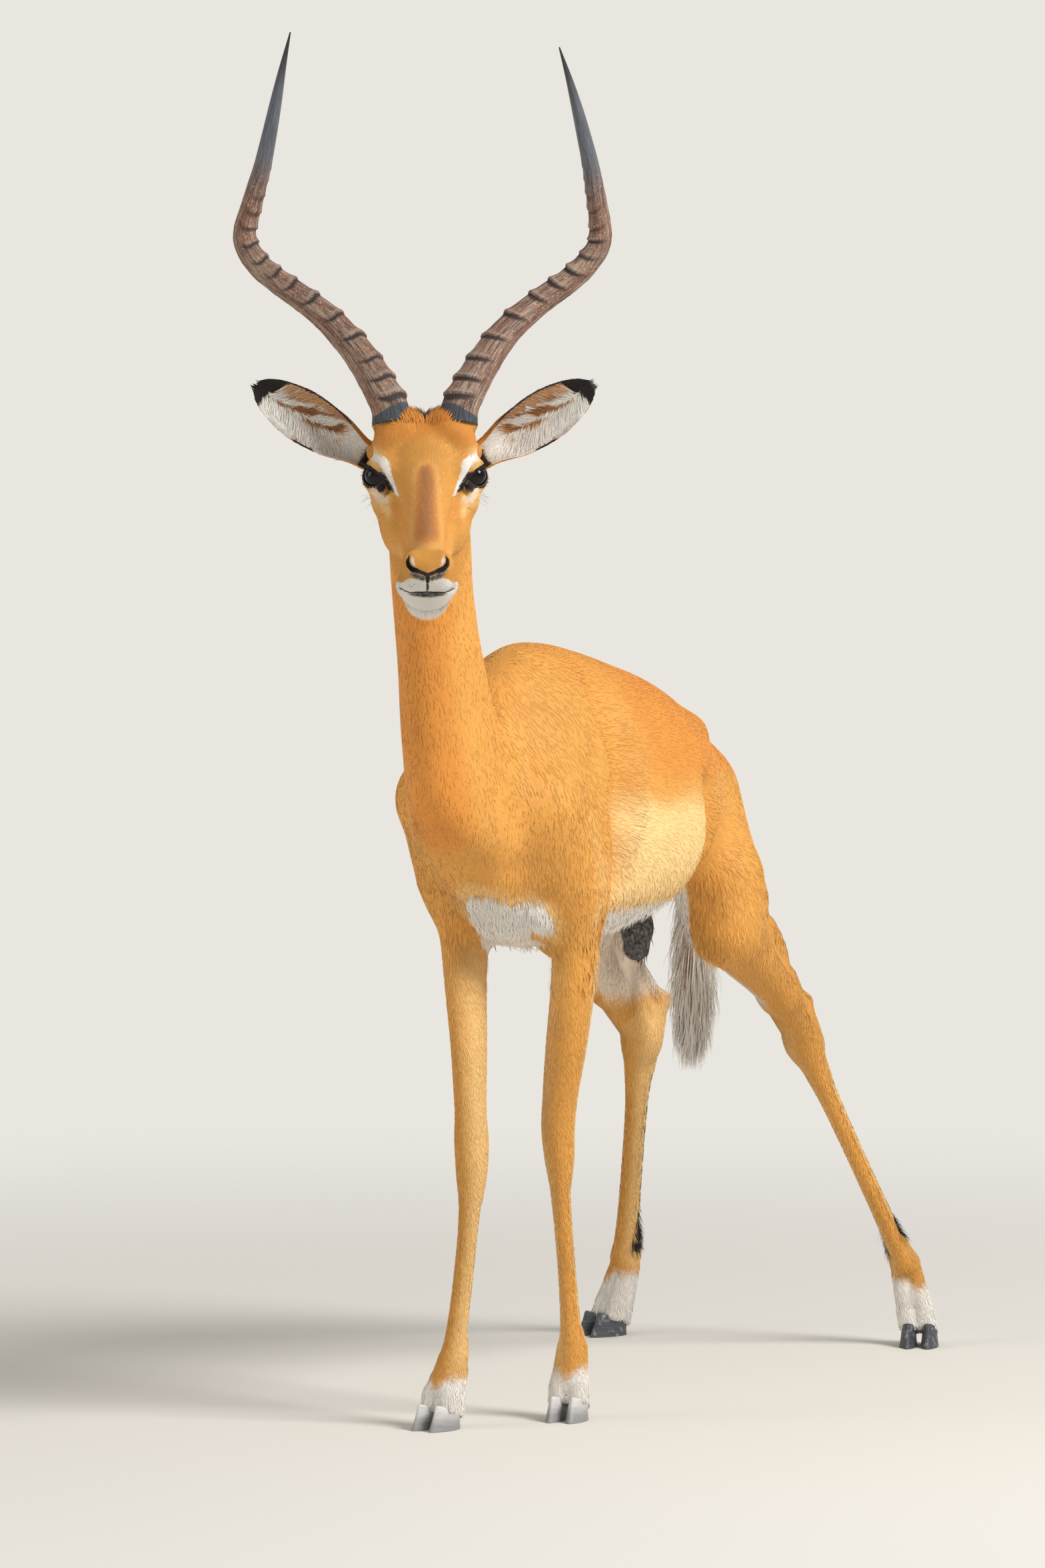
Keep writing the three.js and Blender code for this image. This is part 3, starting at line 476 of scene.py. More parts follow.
# %% Features of the face
LID_FRONT, LID_BACK = 62.0, -58.0  # degrees round the eyeball, from where it looks out
LID_UPPER, LID_LOWER = 18.0, 52.0
LID_THICK = 2.4
NOSTRIL = [
    (20.3, 137, 6.5), (21.5, 143, 4.7), (22, 147, 0.6), (20.5, 150.5, -2.1),
    (17, 154.5, -4.1), (9.5, 160, -3.5), (0.5, 163.5, -5),
]
PHILTRUM = [(0.3, 163.5, -5), (0.3, 164.5, -17), (0.3, 164.5, -30)]
MOUTH = [
    (0, 164.5, -30.5), (13, 161.5, -32), (26, 152, -36.5), (32, 140, -41), (34, 118, -45),
    (31, 92, -48),
]


def eye_axes(s):
    """Rows: the way the eye looks, towards its front corner, and up."""
    look = unit([0.72 * s, 0.52, 0.44])  # side, up, along
    front = np.array([-0.66 * s, 0.187, 0.757])
    front = unit(front - look * (look @ front))
    up = np.cross(front, look) * s
    return np.array([look, front, up if up[1] > 0 else -up])


def lid_edges(a):
    """Upper and lower lid edge in degrees of height, for a point a degrees towards the front."""
    middle, half = (LID_FRONT + LID_BACK) / 2, (LID_FRONT - LID_BACK) / 2
    share = np.clip(1 - ((a - middle) / half) ** 2, 0, 1)
    base = 7 - 0.08 * a
    return base + LID_UPPER * share**0.6, base - LID_LOWER * share**0.6


def streak_edge(q):
    """How far from the head's middle the ridge between nose and eye reaches, seen from the front."""
    return 42.3 + 0.55 * (0.8 * q[:, 1] - 0.6 * q[:, 2])


def opening_of_eye(q, s):
    """Distance in mm outside the gap between the lids, for head points q as side, up, along."""
    v = q - np.array([EYE_OUT * s, 0.0, 0.0])
    out, front, up = (v @ eye_axes(s).T).T
    r = np.sqrt(out**2 + front**2 + up**2)
    a = np.degrees(np.arctan2(front, np.maximum(out, 1e-6)))
    b = np.degrees(np.arctan2(up, np.hypot(out, front)))
    upper, lower = lid_edges(a)
    gap = np.maximum(b - upper, lower - b)
    gap = np.maximum(gap, np.maximum(a - LID_FRONT, LID_BACK - a))
    gap = np.radians(gap) * r
    away = np.maximum(r - EYE_RADIUS - LID_THICK, 0)
    wide = gap - (0.5 + 0.9 * smooth(-4, 8, front)) * away  # the socket opens towards the nose
    wide = np.maximum(wide, streak_edge(q) - q[:, 0] * s)
    return np.where(out > -6, gap, 30.0), np.where(out > -6, wide, 30.0), r


def chain(points, radii, blend):
    """Bones through a run of head points."""
    world = [on_head(*p) for p in points]
    spans = zip(world, world[1:], radii, radii[1:])
    return united([bone(a, b, ra, rb, blend) for a, b, ra, rb in spans])


def mirrored(points):
    return [[(side * s, along, up) for side, along, up in points] for s in SIDES.values()]


NOSTRIL_RADII = [1.0, 1.3, 1.8, 2.1, 2.1, 1.7, 1.3]
nostril_slits = [chain(p, NOSTRIL_RADII, 2) for p in mirrored(NOSTRIL)]
mouth_lines = [chain(p, [1.2, 1.2, 1.1, 1.0, 0.8, 0.5], 2) for p in mirrored(MOUTH)]
philtrum_line = chain(PHILTRUM, [1.2, 0.9, 0.9], 2)
BRIDGE_SIDE = [(34, 44, 2), (32, 70, -12), (29, 95, -20), (27, 116, -24)]
bridge_hollows = [chain(p, [4, 8, 9, 6], 4) for p in mirrored(BRIDGE_SIDE)]
lip_swells = united(
    [blob(HEAD, on_head(15 * s, 146, -26), [15, 9, 16], 8) for s in SIDES.values()]
    + [blob(HEAD, on_head(0, 143, -54), [19, 12, 15], 8)]
)
temple_hollows = [blob(HEAD, on_head(60 * s, -28, 22), [12, 16, 20], 1)[0] for s in SIDES.values()]
JAW_EDGE = [(52, -12, -34), (49, 20, -40), (42, 50, -40)]
jaw_grooves = [chain(p, [4, 4.5, 2], 4) for p in mirrored(JAW_EDGE)]
HEAD_REACH = 230.0
head_middle = on_head(0, 40, -20)


def off_face(p):
    """Distance in mm from a line inside the head that runs from brow to chin."""
    return from_line(p, on_head(0, -10, -15), on_head(0, 112, -38))[1]


def with_face(p, d):
    """The field d at points p, with the features of the face worked in."""
    near = np.nonzero(norm(p - head_middle, axis=1) < HEAD_REACH)[0]
    if len(near) == 0:
        return d
    at, e = p[near], d[near]
    q = to_local(HEAD, at)
    e = joined(e, lip_swells(at), 8)
    for forms, raised, blend in ((bridge_hollows, 1.5, 12), (temple_hollows, 4, 12), (jaw_grooves, 3.2, 9)):
        for form in forms:
            e = carved(e, form(at) + raised, blend)
    for s in SIDES.values():
        _, wide, r = opening_of_eye(q, s)
        e = joined(e, r - (EYE_RADIUS + LID_THICK), 7)
        e = carved(e, np.maximum(wide, r - 33), 1.2)
    for forms, blend in ((nostril_slits, 2.0), ([*mouth_lines, philtrum_line], 1.6)):
        for form in forms:
            e = carved(e, form(at), blend)
    d = d.copy()
    d[near] = e
    return d


# %% Cords and grooves of the legs and body
def on_shin(name, share):
    """The point that is this share of the way from a hock to its fetlock."""
    hock, fetlock = np.array([HOCK[name], FOOT["hind", name][0]], float)
    return hock + (fetlock - hock) * share


def leg_line(name, kind, back, side):
    """Points beside a lower leg's middle line, for the grooves before its tendons."""
    if kind == "fore":
        rows = [row for row in FORE_LEG[name] if 100 <= row[0] <= 270]
        return [[x * SIDES[name] + side, y + back, z] for z, x, y, _, _ in rows]
    return [on_shin(name, share) + [side, back, 0] for share in (0.18, 0.5, 0.85)]


groove_forms = []
for name, s in SIDES.items():
    for side in (-13.5, 13.5):
        groove_forms.append((leg_line(name, "fore", 5, side), 4.2, 5))
        groove_forms.append((leg_line(name, "hind", 6, side * 1.02), 4.2, 5))
    groove_forms += [
        ([[64 * s, -104, 640], [78 * s, -74, 590]], 6, 30),  # breast to upper arm
        ([[112 * s, 68, 700], [104 * s, 76, 620]], 16, 26),  # behind the elbow
        ([[130 * s, 300, 700], [124 * s, 318, 630], [98 * s, 334, 568]], 15, 30),  # ahead of the thigh
        ([[104 * s, 560, 540], [112 * s, 596, 470], [110 * s, 620, 420]], 7, 10),  # before the tendon
        ([[84 * s, 88, 830], [104 * s, 94, 765], [112 * s, 86, 700]], 5, 40),  # behind the shoulder blade
        ([[44 * s, -140, 930], [54 * s, -122, 870], [60 * s, -114, 820]], 5, 34),  # neck into shoulder
    ]
grooves = []
for points, radius, blend in groove_forms:
    runs = [bone(a, b, radius, radius, 4) for a, b in zip(points, points[1:])]
    low = np.min([r[2] for r in runs], axis=0) - blend
    high = np.max([r[3] for r in runs], axis=0) + blend
    grooves.append((united(runs), radius, blend, low, high))


def with_grooves(p, d):
    d = d.copy()
    for form, radius, blend, low, high in grooves:
        near = np.nonzero(((p > low) & (p < high)).all(1))[0]
        if len(near):
            d[near] = carved(d[near], form(p[near]) + radius * 0.1, blend)
    return d


# %% [markdown]
# The skin lies under the coat by the coat's depth: about 5 mm on the trunk, very little on the
# face and the lower legs. So the depth is taken off the field before the skin is made.

# %% Depth of the coat
def smooth(low, high, x):
    """0 below low, 1 above high, and an even passage between."""
    t = np.clip((x - low) / (high - low), 0, 1)
    return t * t * (3 - 2 * t)


def fade(low, high, x):
    """1 below low and 0 above high."""
    return 1 - smooth(low, high, x)


def coat_depth(p):
    body = 1.4 + 3.4 * smooth(380, 600, p[:, 2])
    away = norm(p - head_middle, axis=1)
    face = 1.9 - 0.9 * smooth(70, 120, to_local(HEAD, p)[:, 2])
    return face + (body - face) * smooth(110, 230, away)


CLAW = {"toe": 31.0, "heel": 25.0, "toe_height": 34.0, "heel_height": 17.0}


def foot_frame(kind, name):
    _, _, ground, out = FOOT[kind, name]
    a = math.radians(out)
    return np.array(ground, float), axes([math.cos(a), math.sin(a), 0], [0, 0, 1])


def claw_top(y):
    """Height of the claws' upper edge, y from the toe (negative) to the heel."""
    share = (y + CLAW["toe"]) / (CLAW["toe"] + CLAW["heel"])
    return CLAW["toe_height"] + (CLAW["heel_height"] - CLAW["toe_height"]) * share


def above_claws(p, d):
    """The skin ends just inside the claws."""
    d = d.copy()
    for kind, name in FOOT:
        aside = norm(p[:, :2] - FOOT[kind, name][2][:2], axis=1)
        low = np.nonzero((p[:, 2] < 70) & (aside < 70))[0]
        if len(low):
            q = to_local(foot_frame(kind, name), p[low])
            d[low] = np.maximum(d[low], (claw_top(q[:, 1]) - 5 - q[:, 2]) * 0.95)
    return d


def hide(p):
    """The field of the skin itself."""
    return above_claws(p, with_face(p, with_grooves(p, flesh(p)) + coat_depth(p)))


three_spots = np.array([[0.0, 200, 870], [45, 70, 200], EYE_MIDDLE])
print("the coat is", np.round(coat_depth(three_spots), 1), "mm deep on back, leg and face")

# %% [markdown]
# The field becomes a mesh by surface nets: a grid of sample points is laid through space, and
# each cell that the surface crosses gives one point, which is then pulled onto the surface. An
# even grid would be too coarse for the lids or too heavy for the flanks, so the grid is drawn
# together round the head like a lens: its cells are about 2 mm there and 5 to 7 mm on the trunk.
# Only the blocks of the grid that lie near the surface are worked out.

# %% A grid that is fine round the head
CELL = 6.9
HEAD_FINENESS = 0.33
CALM, FULL = 300.0, 620.0  # grid distances where the cells begin and end to grow
rho = np.linspace(0, 2600, 2601)
stretch = HEAD_FINENESS + (1 - HEAD_FINENESS) * smooth(CALM, FULL, rho)
reach_table = np.concatenate([[0], np.cumsum((stretch[1:] + stretch[:-1]) / 2)])


def from_grid(g):
    """Grid space to the ram's millimetres."""
    v = g - head_middle
    r = norm(v, axis=-1, keepdims=True)
    return head_middle + v * np.interp(r, rho, reach_table) / np.maximum(r, 1e-6)


def grid_corner(p):
    """The corner of the grid space that holds everything on this side of the corner p."""
    v = p - head_middle
    return head_middle + np.sign(v) * np.interp(np.abs(v), reach_table, rho)


# %% Surface nets
BLOCK = 4
CORNERS = list(itertools.product((0, 1), repeat=3))
SLOPE_STEP = 0.4  # mm to either side of a point, for the slope of the field


def corner_values(values, corner):
    """The values at one corner of every cell of a grid."""
    i, j, k = corner
    a, b, c = values.shape
    return values[i : a - 1 + i, j : b - 1 + j, k : c - 1 + k]


def enlarged(values):
    for axis in range(3):
        values = np.repeat(values, BLOCK, axis)
    return values


def sampled(field, low, counts):
    """Field values on the grid, exact near the surface and only of the right sign elsewhere."""
    runs = [low[k] + CELL * np.arange(0, counts[k], BLOCK) for k in range(3)]
    rough = np.stack(np.meshgrid(*runs, indexing="ij"), -1)
    world = from_grid(rough.reshape(-1, 3))
    value = field(world).reshape(rough.shape[:3])
    world = world.reshape(rough.shape)
    size = norm(world[1:, 1:, 1:] - world[:-1, :-1, :-1], axis=-1)
    near = np.min([np.abs(corner_values(value, c)) for c in CORNERS], axis=0) < size * 1.05
    full, wanted = enlarged(value[:-1, :-1, :-1]), enlarged(near)
    places = np.argwhere(wanted)
    parts = [field(from_grid(low + CELL * part)) for part in np.array_split(places, 24)]
    full[wanted] = np.concatenate(parts)
    return full, len(places)


def settled(field, p, limit, rounds=3):
    """Points pulled along the field's slope onto the surface."""
    start = p.copy()
    for _ in range(rounds):
        d = field(p)
        steps = np.eye(3) * SLOPE_STEP
        g = np.stack([(field(p + e) - field(p - e)) / (2 * SLOPE_STEP) for e in steps], 1)
        g2 = np.maximum((g**2).sum(1), 0.2)
        p = p - g * (d / g2)[:, None] * 0.8
    move = p - start
    far = norm(move, axis=1, keepdims=True)
    return start + move * np.minimum(1, limit[:, None] / np.maximum(far, 1e-9))


def surface_nets(field, low, high):
    counts = np.ceil((high - low) / CELL / BLOCK).astype(int) * BLOCK + 1
    value, worked = sampled(field, low, counts)
    n = value.shape
    inside = value < 0
    some = np.logical_or.reduce([corner_values(inside, c) for c in CORNERS])
    every = np.logical_and.reduce([corner_values(inside, c) for c in CORNERS])
    cells = np.argwhere(some & ~every)
    index = np.full(some.shape, -1)
    index[tuple(cells.T)] = np.arange(len(cells))
    at = {c: from_grid(low + CELL * (cells + c)) for c in CORNERS}
    f = {c: value[tuple((cells + c).T)] for c in CORNERS}
    total, count = np.zeros((len(cells), 3)), np.zeros(len(cells))
    edges = [(a, a[:k] + (1,) + a[k + 1 :]) for a in CORNERS for k in range(3) if not a[k]]
    for a, b in edges:
        crossed = (f[a] < 0) != (f[b] < 0)
        t = np.where(crossed, f[a] / np.where(crossed, f[a] - f[b], 1), 0)[:, None]
        total += np.where(crossed[:, None], at[a] * (1 - t) + at[b] * t, 0)
        count += crossed
    points = total / count[:, None]
    limit = norm(at[1, 1, 1] - at[0, 0, 0], axis=1) * 0.28
    points = settled(field, points, limit)
    quads = []
    for k in range(3):
        step = np.eye(3, dtype=int)[k]
        first = inside[tuple(slice(1, n[m] - 1) for m in range(3))]
        second = inside[tuple(slice(1 + step[m], n[m] - 1 + step[m]) for m in range(3))]
        e = np.argwhere(first != second) + 1
        u, v = np.eye(3, dtype=int)[(k + 1) % 3], np.eye(3, dtype=int)[(k + 2) % 3]
        ring = [index[tuple((e - o).T)] for o in (u + v, v, 0 * u, u)]
        quad = np.stack(ring, 1)
        outward = inside[tuple(e.T)]
        quads.append(np.where(outward[:, None], quad, quad[:, ::-1]))
    return points, np.concatenate(quads), worked


# %% A mesh from arrays
def new_piece(name, points, faces):
    """Points in the ram's millimetres, faces all with the same number of corners."""
    points, faces = np.asarray(points, float), np.asarray(faces, int)
    mesh = bpy.data.meshes.new(name)
    mesh.vertices.add(len(points))
    mesh.vertices.foreach_set("co", (points / 1000 + SHIFT).astype(np.float32).ravel())
    mesh.loops.add(faces.size)
    mesh.loops.foreach_set("vertex_index", faces.astype(np.int32).ravel())
    mesh.polygons.add(len(faces))
    mesh.polygons.foreach_set("loop_start", np.arange(0, faces.size, faces.shape[1], dtype=np.int32))
    mesh.polygons.foreach_set("use_smooth", np.full(len(faces), True))
    mesh.update(calc_edges=True)
    mesh.validate()
    return new_object(name, mesh)


def add_layer(piece, name, kind, values):
    layer = piece.data.attributes.new(name, kind, "POINT")
    field = {"FLOAT": "value", "FLOAT_VECTOR": "vector", "FLOAT_COLOR": "color"}[kind]
    layer.data.foreach_set(field, values.astype(np.float32).ravel())


def halves(faces):
    """Each face with four corners as two triangles."""
    return np.concatenate([faces[:, [0, 1, 2]], faces[:, [0, 2, 3]]])


def circle(count):
    """Angles once round, in equal steps."""
    return np.linspace(0, 2 * math.pi, count, endpoint=False)


def facing_out(points, faces):
    """The faces of a closed mesh, turned round if they face inwards."""
    triangles = faces if faces.shape[1] == 3 else halves(faces)
    a, b, c = [points[triangles[:, m]] for m in range(3)]
    return faces if (np.cross(a, b) * c).sum() > 0 else faces[:, ::-1]


def ring_quads(rows, count):
    """Faces between rows of points, each row a closed ring."""
    i, j = np.meshgrid(np.arange(rows - 1), np.arange(count), indexing="ij")
    k = (j + 1) % count
    near, far = i * count, (i + 1) * count
    return np.stack([near + j, near + k, far + k, far + j], -1).reshape(-1, 4)


# %% The skin
skin_low, skin_high = np.array([-270.0, -480.0, 2.0]), np.array([270.0, 890.0, 1200.0])
skin_points, skin_quads, worked = surface_nets(hide, grid_corner(skin_low), grid_corner(skin_high))
print(worked, "grid points worked out,", len(skin_points), "skin points,", len(skin_quads), "quads")

# %% [markdown]
# An ear is a leaf rolled into a cup: nearly a tube at its root, open and flatter towards the
# tip. Its two walls are laid out as a grid of rows from root to tip and columns from one edge to
# the other, so that rims, ridges and colours can be placed by the same two numbers.

# %% Ears
EAR_ROOT, EAR_TIP = [60, -40, 16], [187, -44, 98]  # out, forward, up in the level frame
EAR_THICKNESS = 4.5
ear_half = spline([0, 0.12, 0.35, 0.6, 0.82, 0.94, 1], [13, 15, 25, 29, 23, 15, 7])
ear_cup = spline([0, 0.2, 0.5, 0.8, 1], [2.2, 1.9, 1.15, 0.75, 0.5])


def level(side, p):
    return to_world(HEADING, [p[0] * side, -p[1], p[2]])


def ear_points(side, u, w, inner, lift=0.0):
    """Points of an ear: u from root to tip, w from -1 to 1 across, lift off its wall."""
    root, tip = level(side, EAR_ROOT), level(side, EAR_TIP)
    length = norm(tip - root)
    along = unit(tip - root)
    facing = level(side, [EAR_ROOT[0] + 0.25, EAR_ROOT[1] + 1, EAR_ROOT[2] - 0.1]) - root
    across = unit(np.cross(along, facing)) * side
    out = unit(np.cross(across, along)) * side
    bend = ear_cup(u)
    r = (ear_half(u) - 0.8) / np.sin(np.minimum(bend, math.pi / 2))
    a = w * bend
    rim = np.sqrt(np.clip(1 - np.abs(w) ** 6, 0.03, 1)) * np.clip((1.02 - u) * 9, 0.15, 1)
    wall = np.where(inner, 0.7, EAR_THICKNESS - 1.2)
    wall = 2.2 + (wall - 2.2) * rim
    ridge = 0.9 * np.cos(w * 9.0) * (1 - np.abs(w))
    ridge = ridge * np.clip(u * 3, 0, 1) * np.clip((1 - u) * 4, 0, 1)
    r_wall = r + wall - np.where(inner, ridge + lift, -lift)
    p = root + (u * length)[:, None] * along + (r_wall * np.sin(a))[:, None] * across
    return p + (r * np.cos(bend) - r_wall * np.cos(a))[:, None] * out


def ear_mesh(side, rows=44, columns=22):
    u = np.linspace(0, 1, rows + 1)
    w = np.sin(np.linspace(-1, 1, columns + 1) * math.pi / 2)
    uu, ww = np.meshgrid(u, w, indexing="ij")
    both_u = np.concatenate([uu, uu[:, ::-1]], 1)
    both_w = np.concatenate([ww, ww[:, ::-1]], 1)
    inner = np.concatenate([np.ones_like(uu, bool), np.zeros_like(uu, bool)], 1)
    points = ear_points(side, both_u.ravel(), both_w.ravel(), inner.ravel())
    ring = 2 * (columns + 1)
    i, j = np.meshgrid(np.arange(rows), np.arange(ring), indexing="ij")
    k = (j + 1) % ring
    near, far = i * ring, (i + 1) * ring
    quads = np.stack([near + j, far + j, far + k, near + k], -1).reshape(-1, 4)
    j = np.arange(columns)
    caps = []
    for row, turned in ((0, False), (rows, True)):
        a = row * ring
        cap = np.stack([a + j, a + j + 1, a + ring - 2 - j, a + ring - 1 - j], 1)
        caps.append(cap[:, ::-1] if turned else cap)
    quads = np.concatenate([quads, *caps])
    return points, facing_out(points, quads), both_u.ravel(), both_w.ravel(), inner.ravel()


ears = {name: ear_mesh(s) for name, s in SIDES.items()}
print("each ear has", len(ears["left"][1]), "faces")

# %% [markdown]
# Now the markings. Each is a rule on a point of the ram: a height on the body, a line on the
# face, a share of an ear's length. The skin and every tuft of the coat read the same rules, so
# the coat never disagrees with what lies under it. Four masks are enough: white, black, the
# deep red of the back, and the pale tan of the flanks.

# %% Rules for the markings of the body
def spans(q, points, radii):
    """For each straight piece of a run of lines: how far points q lie from it, and its radius there."""
    for a, b, ra, rb in zip(points, points[1:], radii, radii[1:]):
        t, away = from_line(q, np.array(a, float), np.array(b, float))
        yield away, ra + (rb - ra) * t


def patch(q, points, radii, soft):
    """1 inside a run of lines and 0 outside it, with an edge as soft as a share of its radius."""
    share = np.min([away / radius for away, radius in spans(q, points, radii)], axis=0)
    return fade(1 - soft, 1 + soft, share)


GLANDS = []  # the black tuft behind each hind leg, over its fetlock
GLAND_RADII = [13, 17, 12]
for name in SIDES:
    tuft = on_shin(name, 0.83) + [0, 16, 0]
    GLANDS.append([tuft + [0, 4, 22], tuft, tuft - [0, 2, 26]])


def over(masks, amount, white=0, black=0, deep=0, pale=0):
    """The masks, raised where needed to this amount times the share of each of them."""
    return np.maximum(masks, amount[:, None] * np.array([white, black, deep, pale]))


BODY_PATCHES = [  # what; shares of white, black, deep and pale; softness; points; radii
    ("elbow", (0, 0, 0, 0.5), 0.8, [[96, -20, 700], [104, 10, 640], [96, 20, 590]], [16, 18, 16]),
    ("brisket", (1, 0, 0, 0), 0.3, [[0, -60, 560], [0, 60, 548], [0, 200, 548]], [20, 40, 60]),
    ("rump", (1, 0, 0, 0), 0.2, [[18, 545, 700], [30, 540, 600], [40, 520, 540]], [26, 34, 30]),
    ("stripe of the rump", (0, 1, 0, 0), 0.35, [[36, 534, 712], [62, 520, 640], [70, 512, 580]], [8, 9, 6]),
    ("scrotum", (0, 0.66, 1, 1), 0.12, [[0, 380, 560], [0, 390, 520], [0, 388, 500]], [18, 40, 40]),
]


def body_marks(p):
    """Columns white, black, deep, pale for points of the body in the ram's millimetres."""
    x, y, z = p.T
    side = np.abs(x)
    # the deep back ends in an edge along the flank, higher at the shoulder
    edge = 712 + 14 * np.cos((y - 240) / 90) + 40 * fade(60, 170, y) + 20 * smooth(330, 420, y)
    deep = smooth(-22, 26, z - edge) * smooth(70, 190, y) * (0.7 + 0.3 * smooth(150, 300, y))
    deep = deep * (1 - 0.5 * smooth(440, 520, y) * fade(700, 760, z))
    deep = np.maximum(deep, 0.5 * smooth(770, 860, z) * smooth(-40, 60, y))
    pale = smooth(-14, 56, edge - z) * smooth(40, 130, y) * fade(220, 350, y) * smooth(520, 560, z)
    # white belly and armpits
    rise = 0.10 * (side - 60) + 24 * smooth(250, 420, y)
    white = fade(-9, 9, z - (583 + rise)) * smooth(60, 96, y)
    white = white * fade(430, 470, y) * (z > 470)
    white = white * (1 - smooth(300, 350, y) * smooth(58, 84, side))
    masks = np.stack([white, 0 * x, deep, pale], 1)
    for _, shares, soft, points, radii in BODY_PATCHES:
        masks = over(masks, patch(np.stack([side, y, z], 1), points, radii, soft), *shares)
    # the two white lobes of the brisket
    lobes = np.minimum(np.hypot((x - 10) / 30, (z - 585) / 34), np.hypot((x - 49) / 20, (z - 588) / 22))
    front = fade(20, 50, y) * (z > 540)
    masks = over(masks, fade(0.88, 1.06, lobes) * front, white=1)
    masks = over(masks, fade(1.0, 2.0, lobes) * front, pale=0.6)
    # inside of the thighs, pale grey
    inner = smooth(-6, 10, (58 + 0.25 * (640 - z)) - side) * smooth(372, 400, y)
    inner = inner * smooth(400, 450, z) * fade(560, 640, z)
    masks = over(masks, inner, white=0.55, pale=1)
    # legs: pale behind and inside, white pasterns, a black tuft behind each hind leg
    masks = over(masks, fade(520, 590, z) * smooth(0.1, 0.9, beside_back(p)), pale=0.6)
    for kind, name in FOOT:
        fetlock, coronet, _, _ = FOOT[kind, name]
        near = norm(p[:, :2] - np.array(coronet[:2]), axis=1) < 60
        lower = 12 * np.exp(-((to_local(foot_frame(kind, name), p)[:, 0] / 9) ** 2))
        masks = over(masks, near * fade(-44, 6, z + lower - fetlock[2]), white=1, pale=1)
    for gland in GLANDS:
        masks = over(masks, patch(p, gland, GLAND_RADII, 0.25), black=1)
    masks[:, 2:] *= 1 - masks[:, :1]
    return masks


def beside_back(p):
    """From 0 on the front of a leg to 1 on its back and inner side."""
    x, y, z = p.T
    value = np.zeros(len(p))
    for name, s in SIDES.items():
        rows = np.array(FORE_LEG[name], float)
        fore_x, fore_y = [np.interp(z, rows[:, 0], rows[:, k]) for k in (1, 2)]
        line = np.array([HOCK[name], FOOT["hind", name][0]], float)
        hind_x, hind_y = [np.interp(-z, -line[:, 2], line[:, k]) for k in (0, 1)]
        for cx, cy, reach, top in ((fore_x * s, fore_y, 75, 620), (hind_x, hind_y, 70, 430)):
            near = (np.hypot(x - cx, y - cy) < reach) & (z < top)
            way = np.arctan2(y - cy, (cx - x) * s)[near]
            value[near] = 0.5 + 0.5 * np.maximum(np.sin(way), np.cos(way))
    return value


# %% Rules for the markings of the head
BARE_LINES = [
    (NOSTRIL, [1.6, 2.1, 2.7, 3.1, 3.1, 2.9, 3.2]),
    (PHILTRUM, [3.3, 1.5, 1.6]),
    (MOUTH, [2.1, 2.0, 1.8, 1.1, 0.4, 0]),
]


def folded(p):
    """Head points as distance from the middle, along the muzzle and up, the same for both sides."""
    side, up, along = to_local(HEAD, p).T
    return np.stack([np.abs(side), along, up], 1)


def slit_depth(p):
    """Depth in mm inside the black lines of nostrils, muzzle and mouth, -9 far outside them."""
    pieces = [piece for line in BARE_LINES for piece in spans(folded(p), *line)]
    return np.maximum(-9.0, np.max([radius - away for away, radius in pieces], axis=0))


